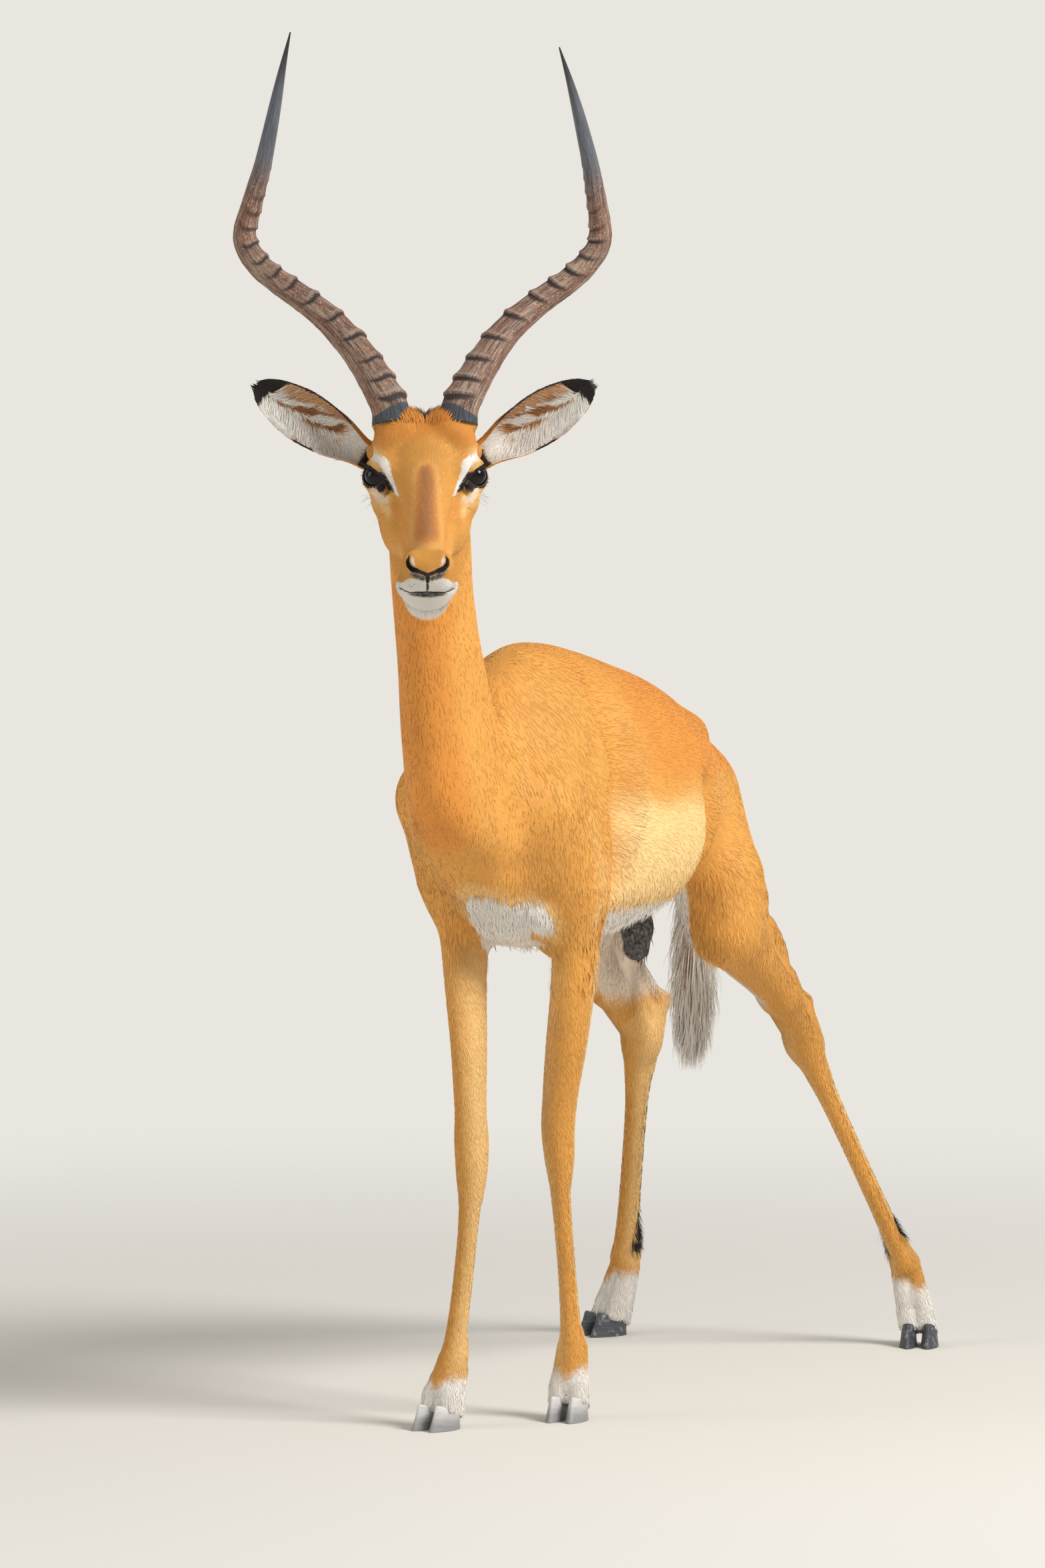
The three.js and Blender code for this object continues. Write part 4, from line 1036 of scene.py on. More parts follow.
HEAD_PATCHES = [  # what; shares of white, black, deep and pale; softness; points; radii
    ("upper lip", (1, 0, 0, 0), 0.3,
     [(6, 163, -20), (16, 160, -22.5), (27, 151, -31), (34, 140, -38)], [9.6, 9.4, 5.6, 2.4]),
    ("along the mouth", (1, 0, 0, 0), 0.3, MOUTH[:4], [6, 6, 5, 3]),
    ("lower lip", (1, 0, 0, 0), 0.2,
     [(0, 158, -52), (16, 150, -51), (27, 141, -49), (30, 118, -54)], [18, 17.5, 12, 10]),
    ("throat", (1, 0, 0, 0), 0.4, [(0, 132, -88), (14, 112, -90)], [20, 14]),
    ("chin", (1, 0, 0, 0), 0.3, [(0, 150, -74), (12, 146, -72)], [14, 12]),
    ("slate skin under the nose", (0.55, 0.62, 0, 0), 0.6,
     [(4, 164, -10.5), (12, 160, -9), (19, 154, -8)], [3.6, 4.2, 3.2]),
    ("behind the eye", (0, 0, 0, 0.8), 0.8, [(58, -10, 30), (55, 4, 26)], [13, 10]),
    ("under the eye", (0, 0, 0, 0.7), 1.0, [(57, 14, -16), (48, 32, -8), (42, 46, -12)], [13, 10, 8]),
    ("cheek", (0, 0, 0, 0.3), 0.6, [(30, 108, -30), (36, 70, -54)], [12, 16]),
    ("brow", (0.62, 0, 0, 1), 0.8, [(60, -10, 22), (53, 5, 29), (44, 15, 29)], [7, 6.5, 6]),
    ("lower lid", (0.5, 0, 0, 1), 0.8, [(56, 22, -4), (51, 33, -6), (44, 37, -4)], [9, 9, 7]),
    ("upper rim of the nose", (0.62, 0, 0, 1), 0.6,
     [(5, 162, 1), (9.5, 160.5, 1.5), (15, 156, 1.5), (17, 150, 4), (17.5, 144, 7)],
     [2.6, 2.8, 2.8, 2.4, 2]),
    ("crown", (0, 0, 0.95, 0), 0.8, [(0, -34, 52), (22, -28, 50), (46, -16, 38)], [22, 20, 13]),
    ("hollow of the cheek", (0, 0, 1, 0.55), 0.8,
     [(36, 50, -2), (34, 84, -14), (30, 112, -20)], [9, 14, 12]),
    ("round the nostril", (0, 0.42, 0, 0), 0.5, NOSTRIL, [2.2, 2.8, 3.8, 4.6, 4.8, 4.2, 3.4]),
    ("dark edge of the lower lip", (0.8, 0.66, 0, 0), 0.7,
     [(0, 162, -34.5), (12, 160, -35.5), (21, 154, -38)], [5.5, 3.8, 2]),
    ("shadow before the eye", (0, 0.48, 0, 0), 0.8, [(48, 27, 3), (42, 36, 3)], [7, 4.5]),
    ("front corner of the eye", (0, 1, 0, 0), 0.6, [(50, 24, 4), (43, 30, 9), (38, 32, 13)], [6, 5, 3]),
]


def head_marks(p):
    side, up, along = to_local(HEAD, p).T
    head = np.stack([side, up, along], 1)
    q = folded(p)
    height = 0.8 * up - 0.6 * along
    beyond = np.abs(side) - streak_edge(head)
    # the pale streak over the eye and down the face, with a dark line outside it
    wide = np.interp(height, [-23, -19, -9, 0, 11, 19, 26], [0.4, 2.4, 4.3, 6.0, 9.0, 10.5, 9.0])
    white = smooth(-wide - 1, -wide + 1, beyond) * fade(0, 1.5, beyond)
    white = white * smooth(-24, -19, height) * fade(18, 25, height)
    white = white * smooth(-6, 0, along) * smooth(0, 5, up)
    tear = smooth(-0.8, 0.8, beyond) * fade(5, 9, beyond) * smooth(-19, -14, height)
    tear = tear * fade(3, 9, height) * smooth(8, 14, along) * fade(36, 42, along)
    ash = patch(q, [(0, 34, 33), (0, 62, 25), (0, 92, 16), (0, 106, 10)], [9, 12, 16, 17], 1.0) ** 0.6
    masks = np.stack([white, 0.85 * tear, ash, ash], 1)
    for _, shares, soft, points, radii in HEAD_PATCHES:
        masks = over(masks, patch(q, points, radii, soft), *shares)
    # a dark dip between the horns
    dip = fade(3.5, 6, np.abs(side)) * smooth(-56, -50, along)
    dip = dip * fade(-42, -36, along) * (up > 20)
    masks = over(masks, dip, white=0.6, black=0.7)
    for s in SIDES.values():
        gap, _, r = opening_of_eye(head, s)
        lid = (np.where(side > 0, 1, -1) == s) & (np.abs(r - EYE_RADIUS) < 9)
        masks = over(masks, lid * fade(0.7, 2.2, gap), black=1)
    masks[:, 2:] *= 1 - masks[:, :1]
    return masks


def marks(p):
    """Masks of any point of head, neck, body or legs."""
    along = to_local(HEAD, p)[:, 2]
    face = fade(92, 128, off_face(p)) * smooth(-110, -80, along)
    body = body_marks(p)
    # the front of the neck is made deeper red: partly its own richer colour, partly painted shade
    front = [[0, -250, 1000], [0, -270, 900], [0, -260, 800], [0, -214, 700]]
    neck = 0.8 * patch(p, front, [40, 46, 56, 50], 0.6)
    body[:, 2] = np.maximum(body[:, 2], neck)
    return body * (1 - face[:, None]) + head_marks(p) * face[:, None]


def ear_marks(u, w, inner):
    """Masks of an ear, whose upper edge is w = -1."""
    top = -w
    tip = smooth(0.83, 0.89, u + 0.05 * top)
    low_notch = (top < 0) * smooth(0.36, 0.42, u) * fade(0.54, 0.60, u)
    rim = smooth(0.93, 0.98, np.abs(w)) * ((top > 0) * smooth(0.15, 0.3, u) + low_notch)
    black = np.maximum(tip, rim * np.where(inner, 1, 0.8))
    black = np.where(inner, np.maximum(black, 1 - smooth(0.02, 0.10, u)), black)
    fan = 0.5 + 0.5 * np.sin(2 * math.pi * (3.6 * u + 1.3 * top + 0.12 * np.sin(9 * top + 3 * u)))
    core = smooth(0.14, 0.3, u) * fade(0.74, 0.86, u + 0.1 * top)
    core = core * fade(0.42, 0.72, np.abs(top - 0.16))
    brown = core * smooth(0.15, 0.7, fan)
    upper = 0.8 * smooth(0.62, 0.74, top) * smooth(0.12, 0.3, u) * fade(0.78, 0.86, u)
    brown = np.maximum(brown, upper)
    bared = smooth(0.80, 0.86, -top) * smooth(0.5, 0.56, u) * fade(0.78, 0.84, u)
    brown = brown * (1 - black) * inner
    white = np.where(inner, (1 - black) * (1 - 0.78 * brown) * (1 - 0.3 * bared), 0)
    black = np.maximum(black, 0.42 * np.maximum(bared, 0.95 * brown) * inner)
    deep = np.where(inner, brown, 0.3)
    return np.stack([white, black, deep, brown], 1)


print("masks on belly and withers:", np.round(marks(np.array([[0.0, 200, 545], [0.0, 60, 890]])), 2))

# %% [markdown]
# The skin and the two ears become one piece. It gets its map from Blender's smart unwrap, which
# lays pieces of the skin's own shape side by side, and it keeps the masks as one colour attribute.

# %% One skin with its map
def add_marks(piece, masks, shade):
    add_layer(piece, "marks", "FLOAT_COLOR", np.clip(masks, 0, 1))
    add_layer(piece, "shade", "FLOAT", shade)


all_points, all_quads, all_masks = [skin_points], [skin_quads], [marks(skin_points)]
ear_share = [np.zeros((len(skin_points), 3))]  # u, w and kind: 0 body, 1 ear's back, 2 ear's inside
start = len(skin_points)
for name, s in SIDES.items():
    points, quads, u, w, inner = ears[name]
    all_points.append(points)
    all_quads.append(quads + start)
    all_masks.append(ear_marks(u, w, inner))
    ear_share.append(np.stack([u, w, 1 + inner], 1))
    start += len(points)
all_points, all_quads = np.concatenate(all_points), np.concatenate(all_quads)
all_masks, ear_share = np.concatenate(all_masks), np.concatenate(ear_share)
skin = new_piece("skin", all_points, all_quads)
add_marks(skin, all_masks, np.full(len(all_masks), 0.5))
add_layer(skin, "slit", "FLOAT", slit_depth(all_points))


bpy.ops.object.select_all(action="DESELECT")
bpy.context.view_layer.objects.active = skin
skin.select_set(True)
bpy.ops.object.mode_set(mode="EDIT")
bpy.ops.mesh.select_all(action="SELECT")
bpy.ops.uv.smart_project(angle_limit=1.15, island_margin=0.002)
bpy.ops.object.mode_set(mode="OBJECT")
skin.data.uv_layers[0].name = "OFBake"
skin_uv = np.empty(len(skin.data.loops) * 2, np.float32)
skin.data.uv_layers["OFBake"].data.foreach_get("uv", skin_uv)
skin_uv = skin_uv.reshape(-1, 4, 2)
skin_normals = np.empty(len(all_points) * 3, np.float32)
skin.data.vertex_normals.foreach_get("vector", skin_normals)
skin_normals = skin_normals.reshape(-1, 3).astype(float)
print("the skin has", len(all_quads) * 2, "triangles")

# %% [markdown]
# The lie of the coat is a direction at every point. On the trunk hair lies back and a little
# down, on the neck and the legs it lies down, and on the face it runs from the nose up over the
# forehead and back over the cheeks. Smooth weights pass from one rule to the next.

# %% The lie of the coat
def lie_of(p, normals):
    x, y, z = p.T
    s = np.sign(x + 1e-6)
    back = np.stack([0.1 * s, np.ones(len(p)), np.full(len(p), -0.35)], 1)
    down = np.stack([0 * x, np.full(len(p), 0.3), np.full(len(p), -1.0)], 1)
    trunk = smooth(-40, 90, y) * smooth(560, 680, z)
    trunk = trunk * (1 - 0.75 * smooth(380, 480, y))
    d = down * (1 - trunk[:, None]) + back * trunk[:, None]
    d[:, 2] += 1.6 * smooth(0.3, 0.8, -normals[:, 1]) * smooth(760, 820, z) * smooth(-60, -20, y)
    side, up, along = to_local(HEAD, p).T
    face = fade(88, 124, off_face(p)) * smooth(-100, -70, along)
    low = fade(-60, 0, up)
    crown = smooth(10, 40, -along) * smooth(10, 40, up)
    sideways = 0.5 * np.sign(side) * smooth(8, 40, np.abs(side)) * (1 - low) + 0.3 * np.sign(side) * crown
    upwards = 0.35 * smooth(20, -20, along) - 0.75 * low + 0.8 * crown
    head = np.stack([sideways, upwards, -1.0 + 0.5 * low + 0.5 * crown], 1)
    lips = (smooth(3, 11, -up) * smooth(112, 138, along))[:, None]
    over_lips = np.stack([0.45 * np.clip(side / 14, -1, 1), -0.9 + 0 * up, 0 * up], 1)
    head = head * (1 - lips) + over_lips * lips
    d = d * (1 - face[:, None]) + (head @ HEAD[1]) * face[:, None]
    d = d - normals * (d * normals).sum(1, keepdims=True)
    return unit(d + 1e-6)


add_layer(skin, "lie", "FLOAT_VECTOR", lie_of(all_points, skin_normals))
on_back = lie_of(np.array([[0.0, 200, 870]]), np.array([[0.0, 0, 1]]))
print("hair on the back lies", np.round(on_back, 2))

# %% [markdown]
# A tuft is a thin closed sliver of mesh: it starts under the skin, swells to its full width and
# ends in a point. Its line can have any number of stations. Short hair has three, which makes
# six triangles, and a long lock has four or five. Every tuft carries the masks of its root and a
# small patch of the skin's own map. Except on the tail, its shading normals are mostly those of
# the skin at its root, so that flat hair gleams as one sleek surface.

# %% Slivers of hair
MAP_SPREAD = 0.0015  # half the width of a tuft's patch of the map
UNDER_SKIN = 0.8  # mm between the skin and the hidden end of a tuft
coat_pieces = []


def slivers(name, paths, widths, ups, uv, masks, shade, flat=0.12, lean=0.3):
    """paths (n, k, 3), widths (n, k - 2) in mm, ups (n, 3): the side that faces away from the skin.
    flat is thickness over width; lean tips the normals to the sides, None leaves them as they are."""
    n, k = paths.shape[:2]
    line = unit(paths[:, -1] - paths[:, 0])
    side = unit(np.cross(ups, line))
    up = np.cross(line, side)
    rings = []
    for j in range(1, k - 1):
        half, c = widths[:, j - 1, None] / 2, paths[:, j]
        rings += [c + side * half, c + up * half * 2 * flat, c - side * half]
    points = np.stack([paths[:, 0], *rings, paths[:, -1]], 1)
    count = points.shape[1]
    faces = [[0, 2, 1], [0, 3, 2], [0, 1, 3]]
    for j in range(k - 3):
        a, b = 1 + 3 * j, 4 + 3 * j
        for m in range(3):
            m2 = (m + 1) % 3
            faces += [[a + m, a + m2, b + m2], [a + m, b + m2, b + m]]
    a, tip = 1 + 3 * (k - 3), count - 1
    faces += [[tip, a, a + 1], [tip, a + 1, a + 2], [tip, a + 2, a]]
    every = (np.array(faces)[None] + (np.arange(n) * count)[:, None, None]).reshape(-1, 3)
    every = facing_out(points.reshape(-1, 3), every)
    piece = new_piece(name, points.reshape(-1, 3), every)
    if lean is not None:
        soft = [ups] + [unit(ups + way * side) for _ in range(k - 2) for way in (lean, 0, -lean)] + [ups]
        piece.data.normals_split_custom_set_from_vertices(np.stack(soft, 1).reshape(-1, 3))
    along = np.concatenate([[0], np.repeat(np.arange(1, k - 1), 3), [k - 1]]) / (k - 1) - 0.5
    across = np.concatenate([[0], np.tile([-0.8, 0, 0.8], k - 2), [0]])
    spread = np.stack([across, along * 2], 1) * MAP_SPREAD
    at = uv[:, None, :] + spread[every[: len(faces)].ravel()][None]
    piece.data.uv_layers.new(name="OFBake").data.foreach_set("uv", at.astype(np.float32).ravel())
    add_marks(piece, np.repeat(masks, count, 0), np.repeat(shade, count))
    piece.data.materials.append(coat_tufts)
    return piece


def short_paths(r, lies, length, lift):
    """Three stations: under the skin, the widest part, and the tip that leans back to the skin."""
    length, lift, roots, normals = length[:, None], lift[:, None], r["points"], r["normals"]
    under = roots - normals * UNDER_SKIN
    middle = roots + (lies * np.cos(lift) + normals * np.sin(lift)) * length * 0.42
    tip = roots + (lies + normals * np.sin(lift * 0.15)) * length
    return np.stack([under, middle, tip], 1)


def combed(paths, normals, lift):
    """Short tufts pressed down onto the skin: a tuft's middle and tip follow the curve of the body."""
    for j, height in ((1, 0.2 + 2.5 * lift), (2, 0.15 + 1.5 * lift)):
        away = np.clip(hide(paths[:, j]) - height, -2.5, 2.5)
        paths[:, j] -= normals * away[:, None]
    return paths


# %% Roots spread over the skin
triangle_corners, triangle_uv = halves(all_quads), halves(skin_uv)
edge_a = all_points[triangle_corners[:, 1]] - all_points[triangle_corners[:, 0]]
edge_b = all_points[triangle_corners[:, 2]] - all_points[triangle_corners[:, 0]]
triangle_area = norm(np.cross(edge_a, edge_b), axis=1) / 2
triangle_middle = all_points[triangle_corners].mean(1)
triangle_kind = ear_share[triangle_corners[:, 0], 2]
print("the skin is", round(triangle_area.sum() / 1e6, 2), "square metres")


def spread_roots(rng, count, density):
    """Random points of the skin; density is a weight for each triangle."""
    weight = triangle_area * density
    pick = rng.choice(len(weight), count, p=weight / weight.sum())
    r = rng.random((count, 2))
    over = r.sum(1) > 1
    r[over] = 1 - r[over]
    b = np.stack([1 - r.sum(1), r[:, 0], r[:, 1]], 1)[:, :, None]
    corners = triangle_corners[pick]
    return {
        "points": (all_points[corners] * b).sum(1),
        "normals": unit((skin_normals[corners] * b).sum(1)),
        "uv": (triangle_uv[pick] * b).sum(1),
        "masks": (all_masks[corners] * b).sum(1),
        "ear": (ear_share[corners] * b).sum(1),
    }


def roots_at(points):
    """The skin's own map and normals beside given points."""
    index = np.array([np.argmin(((triangle_middle - p) ** 2).sum(1)) for p in points])
    return triangle_uv[index].mean(1), skin_normals[triangle_corners[index, 0]]


def disordered_lie(r, rng, spread):
    """The lie of the coat at roots, turned a little round the normals; spread is in radians."""
    lies = lie_of(r["points"], r["normals"])
    a = rng.normal(0, spread, len(lies))[:, None]
    return lies * np.cos(a) + np.cross(r["normals"], lies) * np.sin(a)


# %% [markdown]
# Colours and finishes. Two node groups are shared: one mixes the coat's colours from the masks
# and breaks their edges up, and one makes the fine grain that follows the lie of the hair.
# Colours are given as they look under plain light, in everyday values from 0 to 255.

# %% Helpers for node trees
def linear(r, g, b):
    """A colour in everyday 0-255 values, as the shader wants it."""
    made = []
    for c in (r, g, b):
        c = c / 255
        made.append(c / 12.92 if c <= 0.04045 else ((c + 0.055) / 1.055) ** 2.4)
    return (*made, 1.0)


def fill(tree, node, values):
    """values: a socket's name or number to a link, a number, or a colour as for linear."""
    for key, value in values.items():
        socket = node.inputs[key]
        if isinstance(value, bpy.types.NodeSocket):
            tree.links.new(value, socket)
        else:
            socket.default_value = linear(*value) if socket.type == "RGBA" else value


def add_node(tree, kind, values=None, **settings):
    """A new node. The nodes of a tree stand in columns of six, in the order they are made."""
    node = tree.nodes.new(kind)
    column, row = divmod(len(tree.nodes), 6)
    node.location = (column * 220, row * -260)
    for key, value in settings.items():
        setattr(node, key, value)
    fill(tree, node, values or {})
    return node


def mix_colour(tree, factor, a, b):
    return add_node(tree, "ShaderNodeMix", {0: factor, 6: a, 7: b}, data_type="RGBA").outputs[2]


def maths(tree, operation, *values):
    return add_node(tree, "ShaderNodeMath", dict(enumerate(values)), operation=operation).outputs[0]


def ramp(tree, value, low, high, to_low=0.0, to_high=1.0):
    numbers = dict(enumerate((value, low, high, to_low, to_high)))
    return add_node(tree, "ShaderNodeMapRange", numbers, interpolation_type="SMOOTHSTEP").outputs[0]


def noise(tree, vector, scale, detail=2.0, roughness=0.5):
    values = {"Vector": vector, "Scale": scale, "Detail": detail, "Roughness": roughness}
    return add_node(tree, "ShaderNodeTexNoise", values).outputs[0]


def read(tree, name):
    """What the mesh says at each point under this name."""
    return add_node(tree, "ShaderNodeAttribute", attribute_type="GEOMETRY", attribute_name=name).outputs


def stretched(tree, vector, scale):
    node = add_node(tree, "ShaderNodeMapping", {"Vector": vector})
    node.inputs["Scale"].default_value = scale
    return node.outputs[0]


def bump(tree, shader, height, strength, distance):
    values = {"Height": height, "Strength": strength, "Distance": distance}
    raised = add_node(tree, "ShaderNodeBump", values)
    tree.links.new(raised.outputs[0], shader.inputs["Normal"])


def new_group(name, inputs, output, kind):
    """A node group with one output. inputs: name to (socket type, default value or None)."""
    tree = bpy.data.node_groups.new(name, "ShaderNodeTree")
    for label, (socket_kind, value) in inputs.items():
        socket = tree.interface.new_socket(label, in_out="INPUT", socket_type=socket_kind)
        if value is not None:
            socket.default_value = value
    tree.interface.new_socket(output, in_out="OUTPUT", socket_type=kind)
    return tree, add_node(tree, "NodeGroupInput").outputs, add_node(tree, "NodeGroupOutput")


def new_material(name):
    material = bpy.data.materials.new(name)
    material.use_nodes = True
    tree = material.node_tree
    place = add_node(tree, "ShaderNodeTexCoord").outputs["Object"]
    return material, tree, tree.nodes["Principled BSDF"], place


COLOUR, VALUE, VECTOR = "NodeSocketColor", "NodeSocketFloat", "NodeSocketVector"

# %% Group: the coat's colours
TAN = (224, 158, 74)
PALE_TAN = (246, 205, 138)
SADDLE_RED = (223, 144, 60)
ASH_BROWN = (168, 113, 70)
SHADED_WHITE = (236, 228, 216)
WHITE_HAIR = (250, 245, 237)
BLACK_HAIR = (34, 28, 26)
EDGE = (0.25, 0.75)  # how far a white or black edge is softened
coat_colours, given, result = new_group(
    "coat colours",
    {"Marks": (COLOUR, None), "Pale": (VALUE, 0.0), "Shade": (VALUE, 0.5), "Place": (VECTOR, None)},
    "Color",
    COLOUR,
)
split = add_node(coat_colours, "ShaderNodeSeparateColor", {0: given["Marks"]})
white, black, deep = [split.outputs[k] for k in range(3)]
fine = noise(coat_colours, given["Place"], 260, 2, 0.6)
slow = noise(coat_colours, given["Place"], 9, 3, 0.55)
jitter = maths(coat_colours, "MULTIPLY_ADD", fine, 0.3, -0.15)
jitter = maths(coat_colours, "MULTIPLY_ADD", given["Shade"], 0.16, jitter)
jitter = maths(coat_colours, "ADD", jitter, -0.08)


def broken(mask, low, high):
    """A mask whose soft edge is broken up by the jitter."""
    return ramp(coat_colours, maths(coat_colours, "ADD", mask, jitter), low, high)


colour = mix_colour(coat_colours, broken(given["Pale"], 0.1, 0.9), TAN, PALE_TAN)
colour = mix_colour(coat_colours, broken(deep, 0.1, 0.9), colour, SADDLE_RED)
both = maths(coat_colours, "MULTIPLY", given["Pale"], deep)
colour = mix_colour(coat_colours, broken(both, 0.25, 1.15), colour, ASH_BROWN)
tone = ramp(coat_colours, slow, 0.3, 0.7, 0.94, 1.05)
tone = maths(coat_colours, "MULTIPLY", tone, ramp(coat_colours, given["Shade"], 0, 1, 0.86, 1.12))
toned = add_node(coat_colours, "ShaderNodeVectorMath", {0: colour, "Scale": tone}, operation="SCALE")
white_tone = mix_colour(coat_colours, given["Shade"], SHADED_WHITE, WHITE_HAIR)
colour = mix_colour(coat_colours, broken(white, *EDGE), toned.outputs[0], white_tone)
colour = mix_colour(coat_colours, broken(black, *EDGE), colour, BLACK_HAIR)
fill(coat_colours, result, {"Color": colour})
print("coat colours:", len(coat_colours.nodes), "nodes")

# %% Group: grain that follows a direction
grain, given, result = new_group(
    "grain",
    {"Place": (VECTOR, None), "Lie": (VECTOR, None), "Stretch": (VALUE, 0.88), "Scale": (VALUE, 900.0)},
    "Height",
    VALUE,
)
along_lie = {0: given["Place"], 1: given["Lie"]}
dot = add_node(grain, "ShaderNodeVectorMath", along_lie, operation="DOT_PRODUCT")
share = maths(grain, "MULTIPLY", dot.outputs["Value"], given["Stretch"])
pull = add_node(grain, "ShaderNodeVectorMath", {0: given["Lie"], "Scale": share}, operation="SCALE")
pressed = {0: given["Place"], 1: pull.outputs[0]}
pressed = add_node(grain, "ShaderNodeVectorMath", pressed, operation="SUBTRACT")
fill(grain, result, {"Height": noise(grain, pressed.outputs[0], given["Scale"], 3.0)})


# %% Materials of skin and coat
def coat_material(name, on_skin):
    """The coat's colours; on the skin itself also its black bare lines and the grain of the hair."""
    material, tree, shader, place = new_material(name)
    masks = read(tree, "marks")
    values = {"Marks": masks["Color"], "Pale": masks["Alpha"], "Shade": read(tree, "shade")["Fac"]}
    values["Place"] = place
    colour = add_node(tree, "ShaderNodeGroup", values, node_tree=coat_colours).outputs[0]
    roughness = 0.62
    if on_skin:
        slit = ramp(tree, read(tree, "slit")["Fac"], -0.4, 0.4)
        colour = mix_colour(tree, slit, colour, (25, 22, 22))
        roughness = ramp(tree, slit, 0, 1, 0.62, 0.4)
        values = {"Place": place, "Lie": read(tree, "lie")["Vector"]}
        hairs = add_node(tree, "ShaderNodeGroup", values, node_tree=grain)
        bump(tree, shader, hairs.outputs[0], 0.6, 0.0012)
    fill(tree, shader, {"Base Color": colour, "Roughness": roughness, "Specular IOR Level": 0.3})
    return material


skin_material = coat_material("hide", True)
coat_tufts = coat_material("coat hair", False)
skin.data.materials.append(skin_material)
print("materials:", skin_material.name, "and", coat_tufts.name)

# %% [markdown]
# The coat. Hair is shortest on the face and the feet, and longest on the trunk's white parts. The
# same function gives length, width and lift for every piece of short coat. Tufts stand closer
# where they are smaller, so that they cover the skin evenly.

# %% Length, width, lift and density of the coat
def coat_numbers(r):
    """Length, width in mm and lift in radians of the tufts at roots r, and how far r is the face."""
    p, masks = r["points"], r["masks"]
    _, up, along = to_local(HEAD, p).T
    face = fade(88, 124, off_face(p)) * smooth(-110, -80, along)
    leg = fade(420, 560, p[:, 2])
    on_white = smooth(0.4, 0.9, masks[:, 0])
    length = 15 - 7 * leg - 2.5 * fade(60, 130, p[:, 2])
    length += 2 * on_white * (1 - leg) * (1 - face)
    muzzle = smooth(60, 130, along)
    on_face = 4.8 - 3.0 * muzzle + 4.0 * smooth(20, 45, -along) * smooth(25, 45, up)
    length = length * (1 - face) + on_face * face
    width = (2.0 - 1.05 * leg) * (1 - face) + (0.66 - 0.28 * muzzle) * face
    crown = smooth(28, 50, -along) * smooth(30, 48, up)
    lift = 0.03 + 0.06 * on_white * (1 - face) + 0.3 * face * crown
    return length, width, lift, face


def bare(p):
    """Where no hair grows: inside the eyes, the nostrils and the mouth, and under the claws."""
    q = to_local(HEAD, p)
    none = (p[:, 2] < 12) | (slit_depth(p) > -0.5)
    for s in SIDES.values():
        gap, wide, r = opening_of_eye(q, s)
        none |= (r < EYE_RADIUS + 8) & (np.minimum(gap, wide + 3) < 1.6)
    return none


tri_x, tri_y, tri_z = triangle_middle.T
tri_side = to_local(HEAD, triangle_middle)[:, 0]
tri_masks = all_masks[triangle_corners[:, 0]]
tri_length, tri_width, _, tri_face = coat_numbers({"points": triangle_middle, "masks": tri_masks})
cover = 1.0 / (tri_length * tri_width)
cover[bare(triangle_middle) | (triangle_kind > 0)] = 0
cover[norm(triangle_middle - np.array([0, 388, 520]), axis=1) < 40] *= 0.1

REGIONS = {
    "coat_head_left": ((tri_face > 0.5) & (tri_side > 0), 27000),
    "coat_head_right": ((tri_face > 0.5) & (tri_side <= 0), 27000),
    "coat_neck": ((tri_face <= 0.5) & (tri_y < -90) & (tri_z > 640), 29000),
    "coat_legs_left": ((tri_z < 560) & (tri_x > 0), 23000),
    "coat_legs_right": ((tri_z < 560) & (tri_x <= 0), 23000),
}
taken = np.logical_or.reduce([where for where, _ in REGIONS.values()])
REGIONS["coat_trunk_left"] = (~taken & (tri_x > 0), 29000)
REGIONS["coat_trunk_right"] = (~taken & (tri_x <= 0), 29000)
thin = 1.0


# %% Short coat, piece by piece
def roots_with_hair(rng, count, density):
    """Roots of a piece of coat, without those on bare skin, and how many they are."""
    r = spread_roots(rng, int(count * thin), cover * density)
    keep = ~bare(r["points"])
    return {key: value[keep] for key, value in r.items()}, keep.sum()


def add_coat(name, paths, widths, r, masks, shade):
    coat_pieces.append(slivers(name, paths, widths, r["normals"], r["uv"], masks, np.clip(shade, 0, 1)))
    print(name, len(paths), "tufts,", len(coat_pieces[-1].data.polygons), "triangles")


for number, (name, (where, count)) in enumerate(REGIONS.items()):
    rng = np.random.default_rng(40 + number)
    r, n = roots_with_hair(rng, count, where)
    length, width, lift, _ = coat_numbers(r)
    length = length * rng.uniform(0.75, 1.25, n)
    width = width * rng.uniform(0.8, 1.3, n) / math.sqrt(thin)
    lift = np.clip(lift + rng.normal(0, 0.012, n), 0.03, 1)
    lies = disordered_lie(r, rng, 0.07)
    paths = combed(short_paths(r, lies, length, lift), r["normals"], lift)
    add_coat(name, paths, width[:, None], r, r["masks"], rng.normal(0.5, 0.13, n))

# %% [markdown]
# Longer hair needs its own rules. Inside the ears it grows in from the edges in combed rows. On
# the crown, the chin, the brisket and the edge of the belly it stands out of the short coat.

# %% Ear hair
def bent_paths(r, lies, length, lift, curl, stations=4):
    """Locks that leave the skin at the lift angle and lean over towards the lie."""
    steps, normals = [], r["normals"]
    at = r["points"] - normals * UNDER_SKIN
    for share in np.linspace(0, 1, stations):
        steps.append(at)
        angle = (lift * (1 - curl * share))[:, None]
        way = lies * np.cos(angle) + normals * np.sin(angle)
        at = at + way * (length / (stations - 1))[:, None]
    return np.stack(steps, 1)


def ear_directions(side, u, w, inner, toward):
    """Direction on an ear's wall: along to the tip plus a share towards the middle or the edge."""
    e = 0.01
    here = ear_points(side, u, w, inner)
    along = unit(ear_points(side, np.clip(u + e, 0, 1.02), w, inner) - here)
    across = unit(ear_points(side, u, w + e, inner) - here)
    return unit(along + across * toward[:, None])


